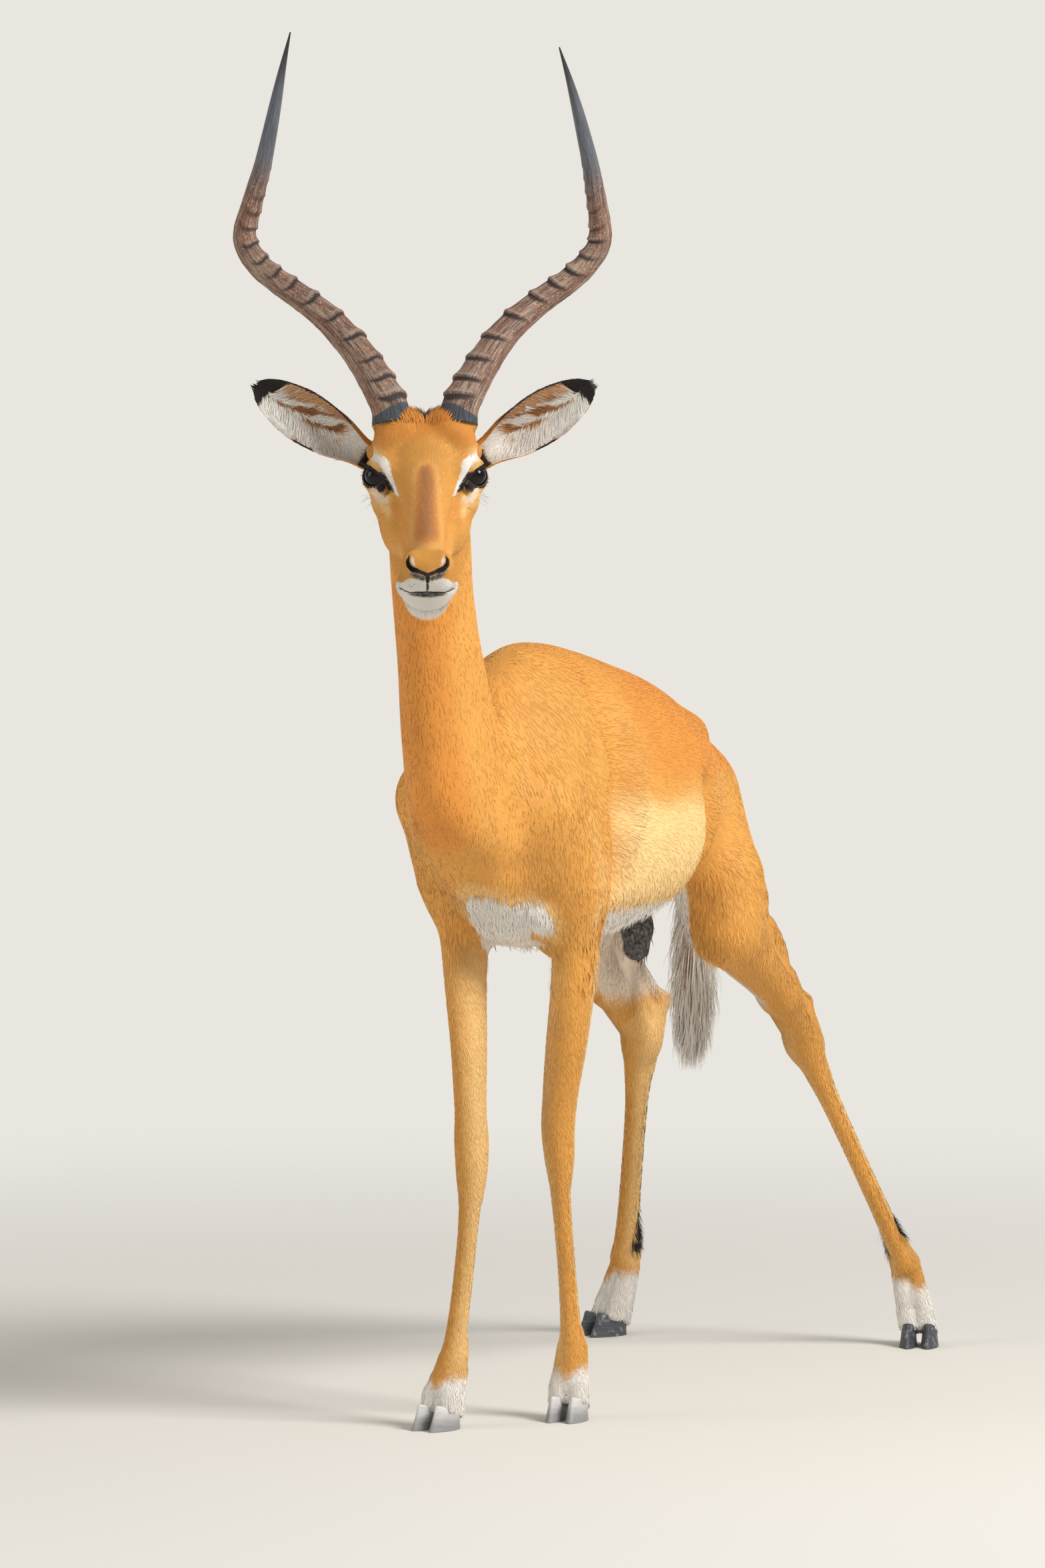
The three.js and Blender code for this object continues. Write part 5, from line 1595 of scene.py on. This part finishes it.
for name, s in SIDES.items():
    rng = np.random.default_rng(70 + s)
    mine = np.sign(tri_side) == s
    for kind, label, count in ((1, "back", 5500), (2, "inside", 4600)):
        r = spread_roots(rng, int(count * thin), np.where(mine & (triangle_kind == kind), 1.0, 0.0))
        u, w = r["ear"][:, 0], r["ear"][:, 1]
        n = len(u)
        inner = np.full(n, kind == 2)
        masks = ear_marks(u, w, inner)
        if label == "back":
            lies = ear_directions(s, u, w, inner, 0 * u)
            length, lift = rng.uniform(4.5, 7.5, n), rng.uniform(0.08, 0.2, n)
            paths = short_paths(r, lies, length, lift)
            widths = rng.uniform(0.7, 1.1, n)[:, None]
        else:
            edge = np.abs(w)
            lies = ear_directions(s, u, w, inner, -np.sign(w) * (0.3 + 1.6 * edge))
            length = 8 + 11 * edge * fade(0.75, 0.9, u)
            length = length * (0.55 + 0.45 * smooth(0, 0.3, u)) * rng.uniform(0.7, 1.2, n)
            length = np.where(masks[:, 1] > 0.4, 4.5, length)
            lift = rng.uniform(0.2, 0.5, n)
            paths = bent_paths(r, lies, length, lift, 0.9)
            widths = np.stack([rng.uniform(0.7, 1.0, n), rng.uniform(0.45, 0.7, n)], 1)
        add_coat("ear_hair_" + label + "_" + name, paths, widths, r, masks, rng.normal(0.5, 0.22, n))

# %% Longer locks on crown, chin, brisket and belly
def lock_piece(name, seed, count, density, length, lift, width, down=0.0):
    """Locks of four stations; down bends their lie towards the ground."""
    rng = np.random.default_rng(seed)
    r, n = roots_with_hair(rng, count, density)
    lies = disordered_lie(r, rng, 0.25)
    lies = unit(lies + np.array([0, 0, -down]))
    sizes = length * rng.uniform(0.6, 1.3, n)
    paths = bent_paths(r, lies, sizes, lift * rng.uniform(0.6, 1.3, n), 0.7)
    widths = width * rng.uniform(0.8, 1.2, n)[:, None] * np.array([1.0, 0.6])
    add_coat(name, paths, widths, r, r["masks"], rng.normal(0.5, 0.22, n))


tri_head = folded(triangle_middle)
crown = patch(tri_head, [(8, -46, 50), (30, -30, 46)], [15, 10], 0.4)
chin = patch(tri_head, [(0, 152, -72), (14, 147, -70), (25, 138, -62)], [12, 11, 7], 0.6)
brisket = smooth(0.5, 0.9, tri_masks[:, 0]) * ((tri_y < 0) & (tri_z > 540)) * (tri_face < 0.5)
belly = (tri_z < 600) * (tri_z > 500) * smooth(0, 60, tri_y) * fade(420, 460, tri_y)
belly = belly * (np.abs(tri_x) < 115)
glands = np.max([patch(triangle_middle, gland, GLAND_RADII, 0.3) for gland in GLANDS], axis=0)
lock_piece("crown_hair", 81, 1500, crown, 10, 0.7, 0.8)
lock_piece("chin_hair", 82, 1500, chin, 8, 0.3, 0.5, down=1.2)
lock_piece("brisket_hair", 83, 2600, brisket, 13, 0.3, 1.1, down=0.2)
lock_piece("belly_hair", 84, 3000, belly, 17, 0.3, 1.5, down=0.15)
lock_piece("gland_hair", 85, 900, glands, 15, 0.45, 1.0)

# %% [markdown]
# The tail is a brush: long white hair hangs from both sides of a thin core, with a dark line
# down its middle. Each lock leaves the core, swings outwards and falls.

# %% Tail brush
rng = np.random.default_rng(90)
n = int(4500 * thin)
z0 = 404 + 311 * rng.random(n) ** 0.9
around = rng.uniform(0, 2 * math.pi, n)
spread_out = rng.random(n) ** 0.5
length = (44 + 54 * smooth(690, 480, z0)) * rng.uniform(0.6, 1.3, n)
length = np.minimum(length, (z0 - 346) * rng.uniform(0.55, 1.0, n))
sway = rng.normal(0, 6.0, (2, n))
paths = []
for share in np.linspace(0, 1, 5):
    z = z0 - length * share * 0.97
    swing = spread_out * min(1, share * 1.5)
    x = TAIL_SIDE + np.cos(around) * tail_width(z) * (0.26 + 0.66 * swing) + sway[0] * share
    y = tail_middle(z) + np.sin(around) * tail_depth(z) * (0.3 + 0.6 * swing) + sway[1] * share
    paths.append(np.stack([x, y, z], 1))
paths = np.stack(paths, 1)
middle = np.abs(paths[:, 2, 0] - TAIL_SIDE + 3) < 1 + 4 * rng.random(n)
middle = middle * smooth(410, 450, paths[:, 3, 2]) * (np.sin(around) < 0.2)
masks = np.stack([1.0 - 0.6 * middle, 0 * middle, middle, middle], 1)
ups = unit(np.stack([np.cos(around), np.sin(around), 0 * around], 1))
rows = np.linspace(400, 700, 13)
row_uv = roots_at(np.stack([0 * rows + TAIL_SIDE, tail_middle(rows), rows], 1))[0]
uv = row_uv[np.clip(np.round((z0 - 400) / 25).astype(int), 0, 12)] + np.stack([around, z0 % 25], 1) * 0.0002
widths = np.tile([1.3, 1.3, 0.9], (n, 1))
shade = np.clip(rng.normal(0.6, 0.2, n), 0, 1)
tail_hair = slivers("tail_hair", paths, widths, ups, uv, masks, shade, 0.45, None)
print("tail:", n, "locks")

# %% [markdown]
# A ram's horn is a spike of keratin on a bony core. Rings grow on it year by year: each swells
# slowly and ends in a sharp edge, strongest on the front and the inner side, and fades out where
# the smooth point begins. The horn is swept along its curve with a radius that knows the rings.

# %% Horns
HORN_LINE = [  # out, forward and up in the level frame
    [37, -8, 58], [39, -12, 75], [52, -28, 101], [68, -46, 127], [86, -66, 150],
    [109, -84, 173], [135, -98, 193], [161, -109, 211], [182, -117, 229], [197, -124, 251],
    [199, -126, 268],
]
HORN_POINT = {  # past the bend each horn has its own way
    "left": [
        [197, -126, 287], [193, -123, 312], [188, -119, 340], [181, -113, 370],
        [173, -107, 402], [163, -101, 438], [152, -95, 473],
    ],
    "right": [
        [194, -126, 287], [187, -123, 312], [179, -119, 340], [172, -113, 372],
        [165, -107, 407], [157, -100, 448], [148, -93, 490],
    ],
}
horn_taper = spline([0, 0.12, 0.35, 0.55, 0.7, 0.85, 1], [21.5, 19, 14.6, 12.8, 10, 6.6, 0.8])
RING_AT = [27, 50, 77, 112, 147, 185, 214, 239, 263, 286, 308, 328, 346, 362, 376]  # mm along
RING_HEIGHT = [3.6, 3.0, 2.6, 2.8, 2.9, 3.1, 2.9, 2.7, 2.5, 2.2, 1.9, 1.5, 1.2, 0.9, 0.6]
GROWTH = 160.0  # mm of horn to one unit of its growth coordinate


def curve_through(points, count):
    """A smooth line through points, cut into equal steps, with its direction and its length."""
    points = np.array(points, float)
    chords = norm(np.diff(points, axis=0), axis=1) ** 0.5
    chord = np.concatenate([[0], np.cumsum(chords)])
    x = np.linspace(0, chord[-1], 3000)
    before = np.vstack([2 * points[0] - points[1], points, 2 * points[-1] - points[-2]])
    knots = np.concatenate([[2 * chord[0] - chord[1]], chord, [2 * chord[-1] - chord[-2]]])
    i = np.clip(np.searchsorted(chord, x, side="right") - 1, 0, len(points) - 2)
    k = [knots[i + m][:, None] for m in range(4)]
    x = x[:, None]

    def between(first, second, low, high):
        return (high - x) / (high - low) * first + (x - low) / (high - low) * second

    p = [before[i + m] for m in range(4)]
    a = [between(p[m], p[m + 1], k[m], k[m + 1]) for m in range(3)]
    b = [between(a[m], a[m + 1], k[m], k[m + 2]) for m in range(2)]
    line = between(b[0], b[1], k[1], k[2])
    far = np.concatenate([[0], np.cumsum(norm(np.diff(line, axis=0), axis=1))])
    want = np.linspace(0, far[-1], count)
    centre = np.stack([np.interp(want, far, line[:, m]) for m in range(3)], 1)
    return centre, unit(np.gradient(centre, axis=0)), far[-1]


def fans(rows, count):
    """Triangles that close both ends of a ringed mesh, with the two end points after its rings."""
    j = np.arange(count)
    k = (j + 1) % count
    start, top = 0 * j + rows * count, (rows - 1) * count
    return np.concatenate([np.stack([start, k, j], 1), np.stack([start + 1, top + j, top + k], 1)])


def make_horn(name, s, rows=420, count=44):
    centre, tangent, long = curve_through([level(s, p) for p in HORN_LINE + HORN_POINT[name]], rows)
    t = np.linspace(0, 1, rows)[:, None]
    side = unit(np.cross([0, 1, 0], tangent))
    up = np.cross(tangent, side)
    angle = circle(count)
    ray = side[:, None] * np.cos(angle)[None, :, None] + up[:, None] * np.sin(angle)[None, :, None]
    inner = unit(to_world(HEADING, [-0.8 * s, -0.5, 0.5]) - EYE_MIDDLE)
    facing = np.einsum("ijk,k->ij", ray, inner)
    strength = smooth(-0.5, 0.7, facing)
    # each ring's place and height, with a little chance in both
    rng = np.random.default_rng(17 + s)
    millimetres = t * long - 9 * (1 - strength) + 1.2 * np.sin(3 * angle + 1.3 * s)[None]
    ring_at = RING_AT + rng.normal(0, 1.2, len(RING_AT))
    ring_height = RING_HEIGHT * rng.uniform(0.85, 1.15, len(RING_AT))
    rise, under = np.zeros((2, *millimetres.shape))
    for at, height in zip(ring_at, ring_height):
        before = np.clip((at - millimetres) / 3.2, 0, 1)
        after = np.clip((millimetres - at) / 15, 0, 1)
        rise = np.maximum(rise, height * (1 - before**1.4) * (1 - after) ** 2.2)
        # painted shadow: a dark band just below each ring's edge, where the ridge would shade the horn
        under = np.maximum(under, height / 3 * np.exp(-(((millimetres - at + 4.5) / 3.2) ** 2)))
    rise = rise * (0.12 + 0.88 * strength)
    rough = smooth(18, 30, millimetres) * fade(0.58, 0.72, t)
    radius = horn_taper(t) + rise + 0.3 * rough * np.sin(angle * 7 + 2 + 3 * np.sin(millimetres / 40))
    radius = radius + 0.22 * rough * np.sin(angle * 19 + 4 * np.sin(millimetres / 23))
    points = (centre[:, None] + ray * radius[..., None]).reshape(-1, 3)
    points = np.concatenate([points, centre[:1], centre[-1:] + tangent[-1:] * 0.6])
    triangles = np.concatenate([halves(ring_quads(rows, count)), fans(rows, count)])
    horn = new_piece("horn_shell_" + name, points, facing_out(points, triangles))
    # what the keratin's colours need: share of the length, rings (paler tops, partly wear and partly
    # painted highlight, and a painted shadow just below each), collar of skin, and growth
    ring_wear_and_shade = 0.5 + 0.12 * rise - 0.5 * under * strength
    collar = fade(8, 14, t * long - 6 * facing)
    grown = np.stack([np.cos(angle) + 0 * rise, np.sin(angle) + 0 * rise, millimetres / GROWTH], -1)
    add_layer(horn, "share", "FLOAT", np.append(t + 0 * rise, [0, 1]))
    add_layer(horn, "ring", "FLOAT", np.append(ring_wear_and_shade, [0.5, 0.5]))
    add_layer(horn, "collar", "FLOAT", np.append(collar, [1, 0]))
    add_layer(horn, "grown", "FLOAT_VECTOR", np.append(grown, [0, 0, 0, 0, 0, long / GROWTH]))
    print(horn.name, len(triangles), "triangles,", round(long), "mm long")
    return horn


horns = {name: make_horn(name, s) for name, s in SIDES.items()}

# %% Horn keratin
material, tree, shader, place = new_material("horn keratin")
share, ring, grown = read(tree, "share")["Fac"], read(tree, "ring")["Fac"], read(tree, "grown")["Vector"]
fibres = noise(tree, stretched(tree, grown, (1.0, 1.0, 0.35)), 17, 4, 0.7)
blotch = noise(tree, grown, 2.6, 4, 0.65)
pores = noise(tree, place, 420, 3, 0.6)
aged_and_ring_shade = mix_colour(tree, ramp(tree, blotch, 0.36, 0.64), (142, 98, 78), (172, 148, 128))
aged_and_ring_shade = mix_colour(tree, ramp(tree, fibres, 0.40, 0.60), (78, 54, 44), aged_and_ring_shade)
aged_and_ring_shade = mix_colour(tree, ramp(tree, pores, 0.56, 0.70), aged_and_ring_shade, (196, 156, 116))
# painted shadow under each ring, then paler ring tops: partly wear, partly painted highlight
aged_and_ring_shade = mix_colour(tree, ramp(tree, ring, 0.5, 0.1), aged_and_ring_shade, (44, 34, 32))
aged_and_ring_shade = mix_colour(tree, ramp(tree, ring, 0.62, 0.9), aged_and_ring_shade, (158, 142, 128))
smooth_part = mix_colour(tree, ramp(tree, fibres, 0.35, 0.7), (60, 62, 67), (120, 126, 135))
upper = ramp(tree, maths(tree, "MULTIPLY_ADD", blotch, 0.08, share), 0.66, 0.80)
upper = mix_colour(tree, upper, aged_and_ring_shade, smooth_part)
tip = mix_colour(tree, ramp(tree, share, 0.84, 0.99), upper, (34, 30, 29))
edge = maths(tree, "ADD", read(tree, "collar")["Fac"], -0.45)
edge = ramp(tree, maths(tree, "MULTIPLY_ADD", blotch, 0.9, edge), 0.3, 0.7)
slate = mix_colour(tree, ramp(tree, fibres, 0.35, 0.65), (36, 39, 44), (76, 82, 90))
roughness = ramp(tree, share, 0.6, 0.8, 0.68, 0.36)
fill(tree, shader, {"Base Color": mix_colour(tree, edge, tip, slate), "Roughness": roughness})
bump(tree, shader, maths(tree, "MULTIPLY_ADD", pores, 0.35, fibres), 0.7, 0.0012)
for horn in horns.values():
    horn.data.materials.append(material)

# %% [markdown]
# The eyes are large and nearly black. A clear bulge lies over the front of each ball, and the
# pupil is a lying oval. Dark wet rims run round the gap between the lids, and lashes stand on
# both lids, longer on the upper one.

# %% Eyeballs
def round_mesh(rows, columns):
    """A ball of radius 1 with its poles on the z axis: rings from pole to pole."""
    polar = np.linspace(0, math.pi, rows + 1)[1:-1]
    p, a = np.meshgrid(polar, circle(columns), indexing="ij")
    points = np.stack([np.sin(p) * np.cos(a), np.sin(p) * np.sin(a), np.cos(p)], -1).reshape(-1, 3)
    points = np.concatenate([points, [[0, 0, 1], [0, 0, -1]]])
    return points, np.concatenate([halves(ring_quads(rows - 1, columns)), fans(rows - 1, columns)])


def make_eye(name, s):
    ball, faces = round_mesh(40, 56)
    look, front, up = eye_axes(s)
    polar = np.degrees(np.arccos(np.clip(ball[:, 2], -1, 1)))
    radius = EYE_RADIUS - 0.5 + 1.1 * fade(10, 42, polar)
    local = (ball[:, :1] * front + ball[:, 1:2] * up + ball[:, 2:] * look) * radius[:, None]
    points = to_world(HEAD, local + [EYE_OUT * s, 0, 0])
    eye = new_piece("eyeball_" + name, points, facing_out(points, faces))
    add_layer(eye, "gaze", "FLOAT_VECTOR", ball)
    return eye


eyes = {name: make_eye(name, s) for name, s in SIDES.items()}
material, tree, shader, place = new_material("wet eye")
gaze = add_node(tree, "ShaderNodeSeparateXYZ", {0: read(tree, "gaze")["Vector"]}).outputs
across = maths(tree, "POWER", gaze[0], 2.0)
upright = maths(tree, "POWER", maths(tree, "MULTIPLY", gaze[1], 1.7), 2.0)
pupil = maths(tree, "SQRT", maths(tree, "ADD", across, upright))
iris = mix_colour(tree, ramp(tree, pupil, 0.40, 0.46), (4, 4, 6), (26, 15, 9))
iris = mix_colour(tree, ramp(tree, gaze[2], 0.66, 0.58), iris, (20, 13, 10))
fill(tree, shader, {"Base Color": iris, "Roughness": 0.08, "Specular IOR Level": 0.28})
for eye in eyes.values():
    eye.data.materials.append(material)
print("eyes made")

# %% Lid rims
def tube_round(points, radius, count=10):
    """A closed tube of one radius along a loop of points."""
    line = unit(np.roll(points, -1, 0) - np.roll(points, 1, 0))
    side = unit(np.cross(line, unit(points - points.mean(0))))
    up = np.cross(side, line)
    a = circle(count)[None, :, None]
    ring = points[:, None] + (side[:, None] * np.cos(a) + up[:, None] * np.sin(a)) * radius
    quads = ring_quads(len(points) + 1, count) % (len(points) * count)
    return ring.reshape(-1, 3), facing_out(ring.reshape(-1, 3), quads)


def lid_point(s, a, b, r):
    """Points over the eyeball: a degrees towards its front corner, b degrees up, r from its middle."""
    look, front, up = eye_axes(s)
    a, b = np.radians(a)[:, None], np.radians(b)[:, None]
    local = np.cos(b) * np.cos(a) * look + np.cos(b) * np.sin(a) * front + np.sin(b) * up
    return to_world(HEAD, local * r + [EYE_OUT * s, 0, 0])


lid_material, tree, shader, place = new_material("wet dark skin")
wrinkle = noise(tree, place, 900)
dark = mix_colour(tree, wrinkle, (20, 17, 18), (46, 40, 40))
fill(tree, shader, {"Base Color": dark, "Roughness": 0.4})
bump(tree, shader, wrinkle, 1.0, 0.0004)
rims = []
for name, s in SIDES.items():
    way = circle(96)
    a = (LID_FRONT + LID_BACK) / 2 + ((LID_FRONT - LID_BACK) / 2 - 1.5) * np.cos(way)
    upper, lower = lid_edges(a)
    b = np.where(np.sin(way) > 0, upper, lower)
    b = b * 0.98 + 0.02 * (upper + lower) / 2
    rim = new_piece("lid_rim_" + name, *tube_round(lid_point(s, a, b, EYE_RADIUS + 0.8), 0.95))
    rim.data.materials.append(lid_material)
    rims.append(rim)

# %% Lashes and whiskers
LASHES, LOWER_LASHES = 90, 14  # the lower ones are part of the 90
LIP_HAIRS = 44
WHISKER_SPOTS = [[56, 14, -14], [50, 24, -14], [44, 36, -16], [58, 8, -22]] * 3  # under the eye


def dark_hairs(name, roots, directions, lengths, width, droop):
    """Single dark hairs that start at roots and bend down as they go."""
    n = len(roots)
    t = np.linspace(0, 1, 5)[None, :, None]
    fall = np.array([0, 0, -1.0]) * droop * lengths[:, None, None] * t**2
    paths = roots[:, None] + directions[:, None] * lengths[:, None, None] * t + fall
    uv, normals = roots_at(roots)
    masks = np.tile([0.0, 0.9, 0, 0], (n, 1))
    widths = np.tile(width * np.array([1.0, 0.85, 0.6]), (n, 1))
    coat_pieces.append(slivers(name, paths, widths, normals, uv, masks, np.full(n, 0.5), 0.5))


rng = np.random.default_rng(60)
for name, s in SIDES.items():
    look, front, up = eye_axes(s)
    a = rng.uniform(-60, 30, LASHES)
    b = lid_edges(a)[0] + rng.uniform(-1, 3, LASHES)
    b[-LOWER_LASHES:] = lid_edges(a[-LOWER_LASHES:])[1] - rng.uniform(0, 2, LOWER_LASHES)
    above = np.arange(LASHES) < LASHES - LOWER_LASHES
    outward = smooth(20, -50, a)[:, None]
    aim = look * (1 - 0.5 * outward) + up * np.where(above, 0.25, -0.5)[:, None]
    aim = aim - front * (0.1 + 1.1 * outward) + rng.normal(0, 0.1, (LASHES, 3))
    long = np.where(above, 6 + 6 * outward[:, 0], 3.5) * rng.uniform(0.7, 1.15, LASHES)
    roots = lid_point(s, a, b, EYE_RADIUS + 1.6)
    dark_hairs("lashes_" + name, roots, unit(aim) @ HEAD[1], long, 0.5, 0.25)
    spots = np.array(WHISKER_SPOTS, float)
    spots = spots + rng.normal(0, 3, spots.shape)
    beside_lips, over_lips = rng.uniform(12, 34, LIP_HAIRS), rng.uniform(-38, -16, LIP_HAIRS)
    lips = np.stack([beside_lips, 166 - 0.018 * beside_lips**2, over_lips], 1)
    ground = np.array([on_head(*r) for r in np.concatenate([spots, lips]) * [s, 1, 1]])
    ground = settled(hide, ground, np.full(len(ground), 14.0), 6)
    aim = np.array([[0.85 * s, -0.35, 0.35]] * len(spots) + [[0.8 * s, -0.3, 0.5]] * LIP_HAIRS)
    aim = unit(aim + rng.normal(0, 0.18, aim.shape)) @ HEAD[1]
    long = np.concatenate([rng.uniform(7, 17, len(spots)), rng.uniform(1.2, 3, LIP_HAIRS)])
    dark_hairs("whiskers_" + name, ground, aim, long, 0.22, 0.12)
print("lashes and whiskers:", 2 * (LASHES + len(WHISKER_SPOTS) + LIP_HAIRS))

# %% [markdown]
# Each foot ends in two claws. A claw is flat inside and round outside and comes to a blunt
# point in front; its wall shows fine growth lines, and its sole is flat on the floor.

# %% Claws
CLAW_RADIUS = 11.5


def make_claw(name, kind, leg, way, count=56):
    fr = foot_frame(kind, leg)
    a = circle(count)
    front = np.cos(a) > 0
    heights = np.concatenate([[0, 0.012, 0.03], np.linspace(0.06, 1, 23)])
    points = []
    for h in heights:
        scale = (1 - 0.2 * h - 0.05 * math.sin(h * math.pi)) * (0.97 if h == 0 else 1)
        if h > 0.93:
            scale *= 1 - 0.06 * (h - 0.93) / 0.07
        x = np.sin(a) * CLAW_RADIUS * scale * np.where(front, 1 - 0.3 * np.cos(a) ** 2, 1)
        y = -np.cos(a) * np.where(front, CLAW["toe"], CLAW["heel"]) * scale + 7 * h
        inside = np.maximum(x * way, -CLAW_RADIUS * 0.8 * scale) * way
        x = way * (CLAW_RADIUS + 0.6) + inside
        points.append(to_world(fr, np.stack([x, y, claw_top(y) * h], 1)))
    low, high = [way * CLAW_RADIUS, 0, 0], [way * CLAW_RADIUS, 7, claw_top(7.0)]
    points = np.concatenate([*points, to_world(fr, [low, high])])
    triangles = np.concatenate([halves(ring_quads(len(heights), count)), fans(len(heights), count)])
    claw = new_piece(name, points, facing_out(points, triangles))
    bleached = (0.35 + 0.65 * smooth(4, 26, points[:, 2])) * (kind == "fore")
    add_layer(claw, "bleached", "FLOAT", bleached)
    return claw


material, tree, shader, place = new_material("claw keratin")
growth = noise(tree, stretched(tree, place, (1, 1, 7)), 60, 3, 0.6)
dust = noise(tree, place, 120, 4, 0.65)
dark = mix_colour(tree, growth, (48, 51, 57), (84, 88, 94))
light = mix_colour(tree, growth, (188, 186, 184), (234, 231, 228))
wall = mix_colour(tree, read(tree, "bleached")["Fac"], dark, light)
dusty = mix_colour(tree, ramp(tree, dust, 0.52, 0.8), wall, (176, 170, 160))
fill(tree, shader, {"Base Color": dusty, "Roughness": 0.55})
bump(tree, shader, growth, 0.5, 0.0008)
claws = []
for kind, leg in FOOT:
    for place_name, way in SIDES.items():
        node = "claw_" + kind + "_" + leg + "_" + place_name
        claw = make_claw("wall_of_" + node, kind, leg, way)
        claw.data.materials.append(material)
        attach(claw, "root")
        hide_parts(node)
        claws.append(claw)
print(len(claws), "claws")

# %% [markdown]
# Every piece is tied to the one body, and says which plain solids it stands for and which
# material of the record it has.

# %% Tying the pieces to the body
FLESH = ["head", "neck", "trunk", "scrotum", "ear_left", "ear_right"]
FLESH += ["foreleg_left", "foreleg_right", "hindleg_left", "hindleg_right"]
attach(skin, "root")
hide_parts(*FLESH)
for piece in coat_pieces + rims:
    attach(piece, "root")
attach(tail_hair, "root")
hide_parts("tail")
for name in SIDES:
    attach(horns[name], "root")
    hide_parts("horn_" + name)
    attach(eyes[name], "root")
    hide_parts("eye_" + name)

# %% [markdown]
# The room is plain: a pale floor that fades into a pale sky, one large soft lamp at the ram's
# left side and above, and a weak one at the front from the other side.

# %% Floor and light
BACKDROP = (233, 230, 224)
bpy.ops.mesh.primitive_plane_add(size=160, location=(0, 0, 0))
floor = bpy.context.object
floor.name = "floor"
material, tree, shader, place = new_material("pale floor")
distance = add_node(tree, "ShaderNodeVectorMath", {0: place}, operation="LENGTH")
far_off = ramp(tree, distance.outputs["Value"], 0.7, 3.0)
fill(tree, shader, {
    "Base Color": mix_colour(tree, far_off, (226, 222, 214), (0, 0, 0)),
    "Emission Color": mix_colour(tree, far_off, (0, 0, 0), BACKDROP),
    "Emission Strength": 1.0,
    "Specular IOR Level": 0.0,
    "Roughness": 1.0,
})
floor.data.materials.append(material)
world = bpy.data.worlds.new("pale sky")
bpy.context.scene.world = world
world.use_nodes = True
tree = world.node_tree
seen = add_node(tree, "ShaderNodeLightPath").outputs["Is Camera Ray"]
sky_colour = mix_colour(tree, seen, (238, 237, 235), BACKDROP)
sky_strength = ramp(tree, seen, 0, 1, 0.5, 1.0)
fill(tree, tree.nodes["Background"], {"Color": sky_colour, "Strength": sky_strength})


def soft_lamp(name, spot, aim, size, watts):
    data = bpy.data.lights.new(name, "AREA")
    data.shape = "DISK"
    data.size = size
    data.energy = watts
    lamp = new_object(name, data)
    lamp.location = spot
    x, y, z = np.array(aim, float) - np.array(spot, float)
    lamp.rotation_euler = (math.atan2(math.hypot(x, y), -z), 0, math.atan2(y, x) - math.pi / 2)


soft_lamp("main lamp", (4.3, -0.7, 4.3), (0, 0, 0.8), 2.6, 305)
soft_lamp("fill lamp", (-3.6, -3.4, 2.4), (0, 0, 0.8), 3.0, 50)
bpy.context.scene.view_settings.view_transform = "Standard"
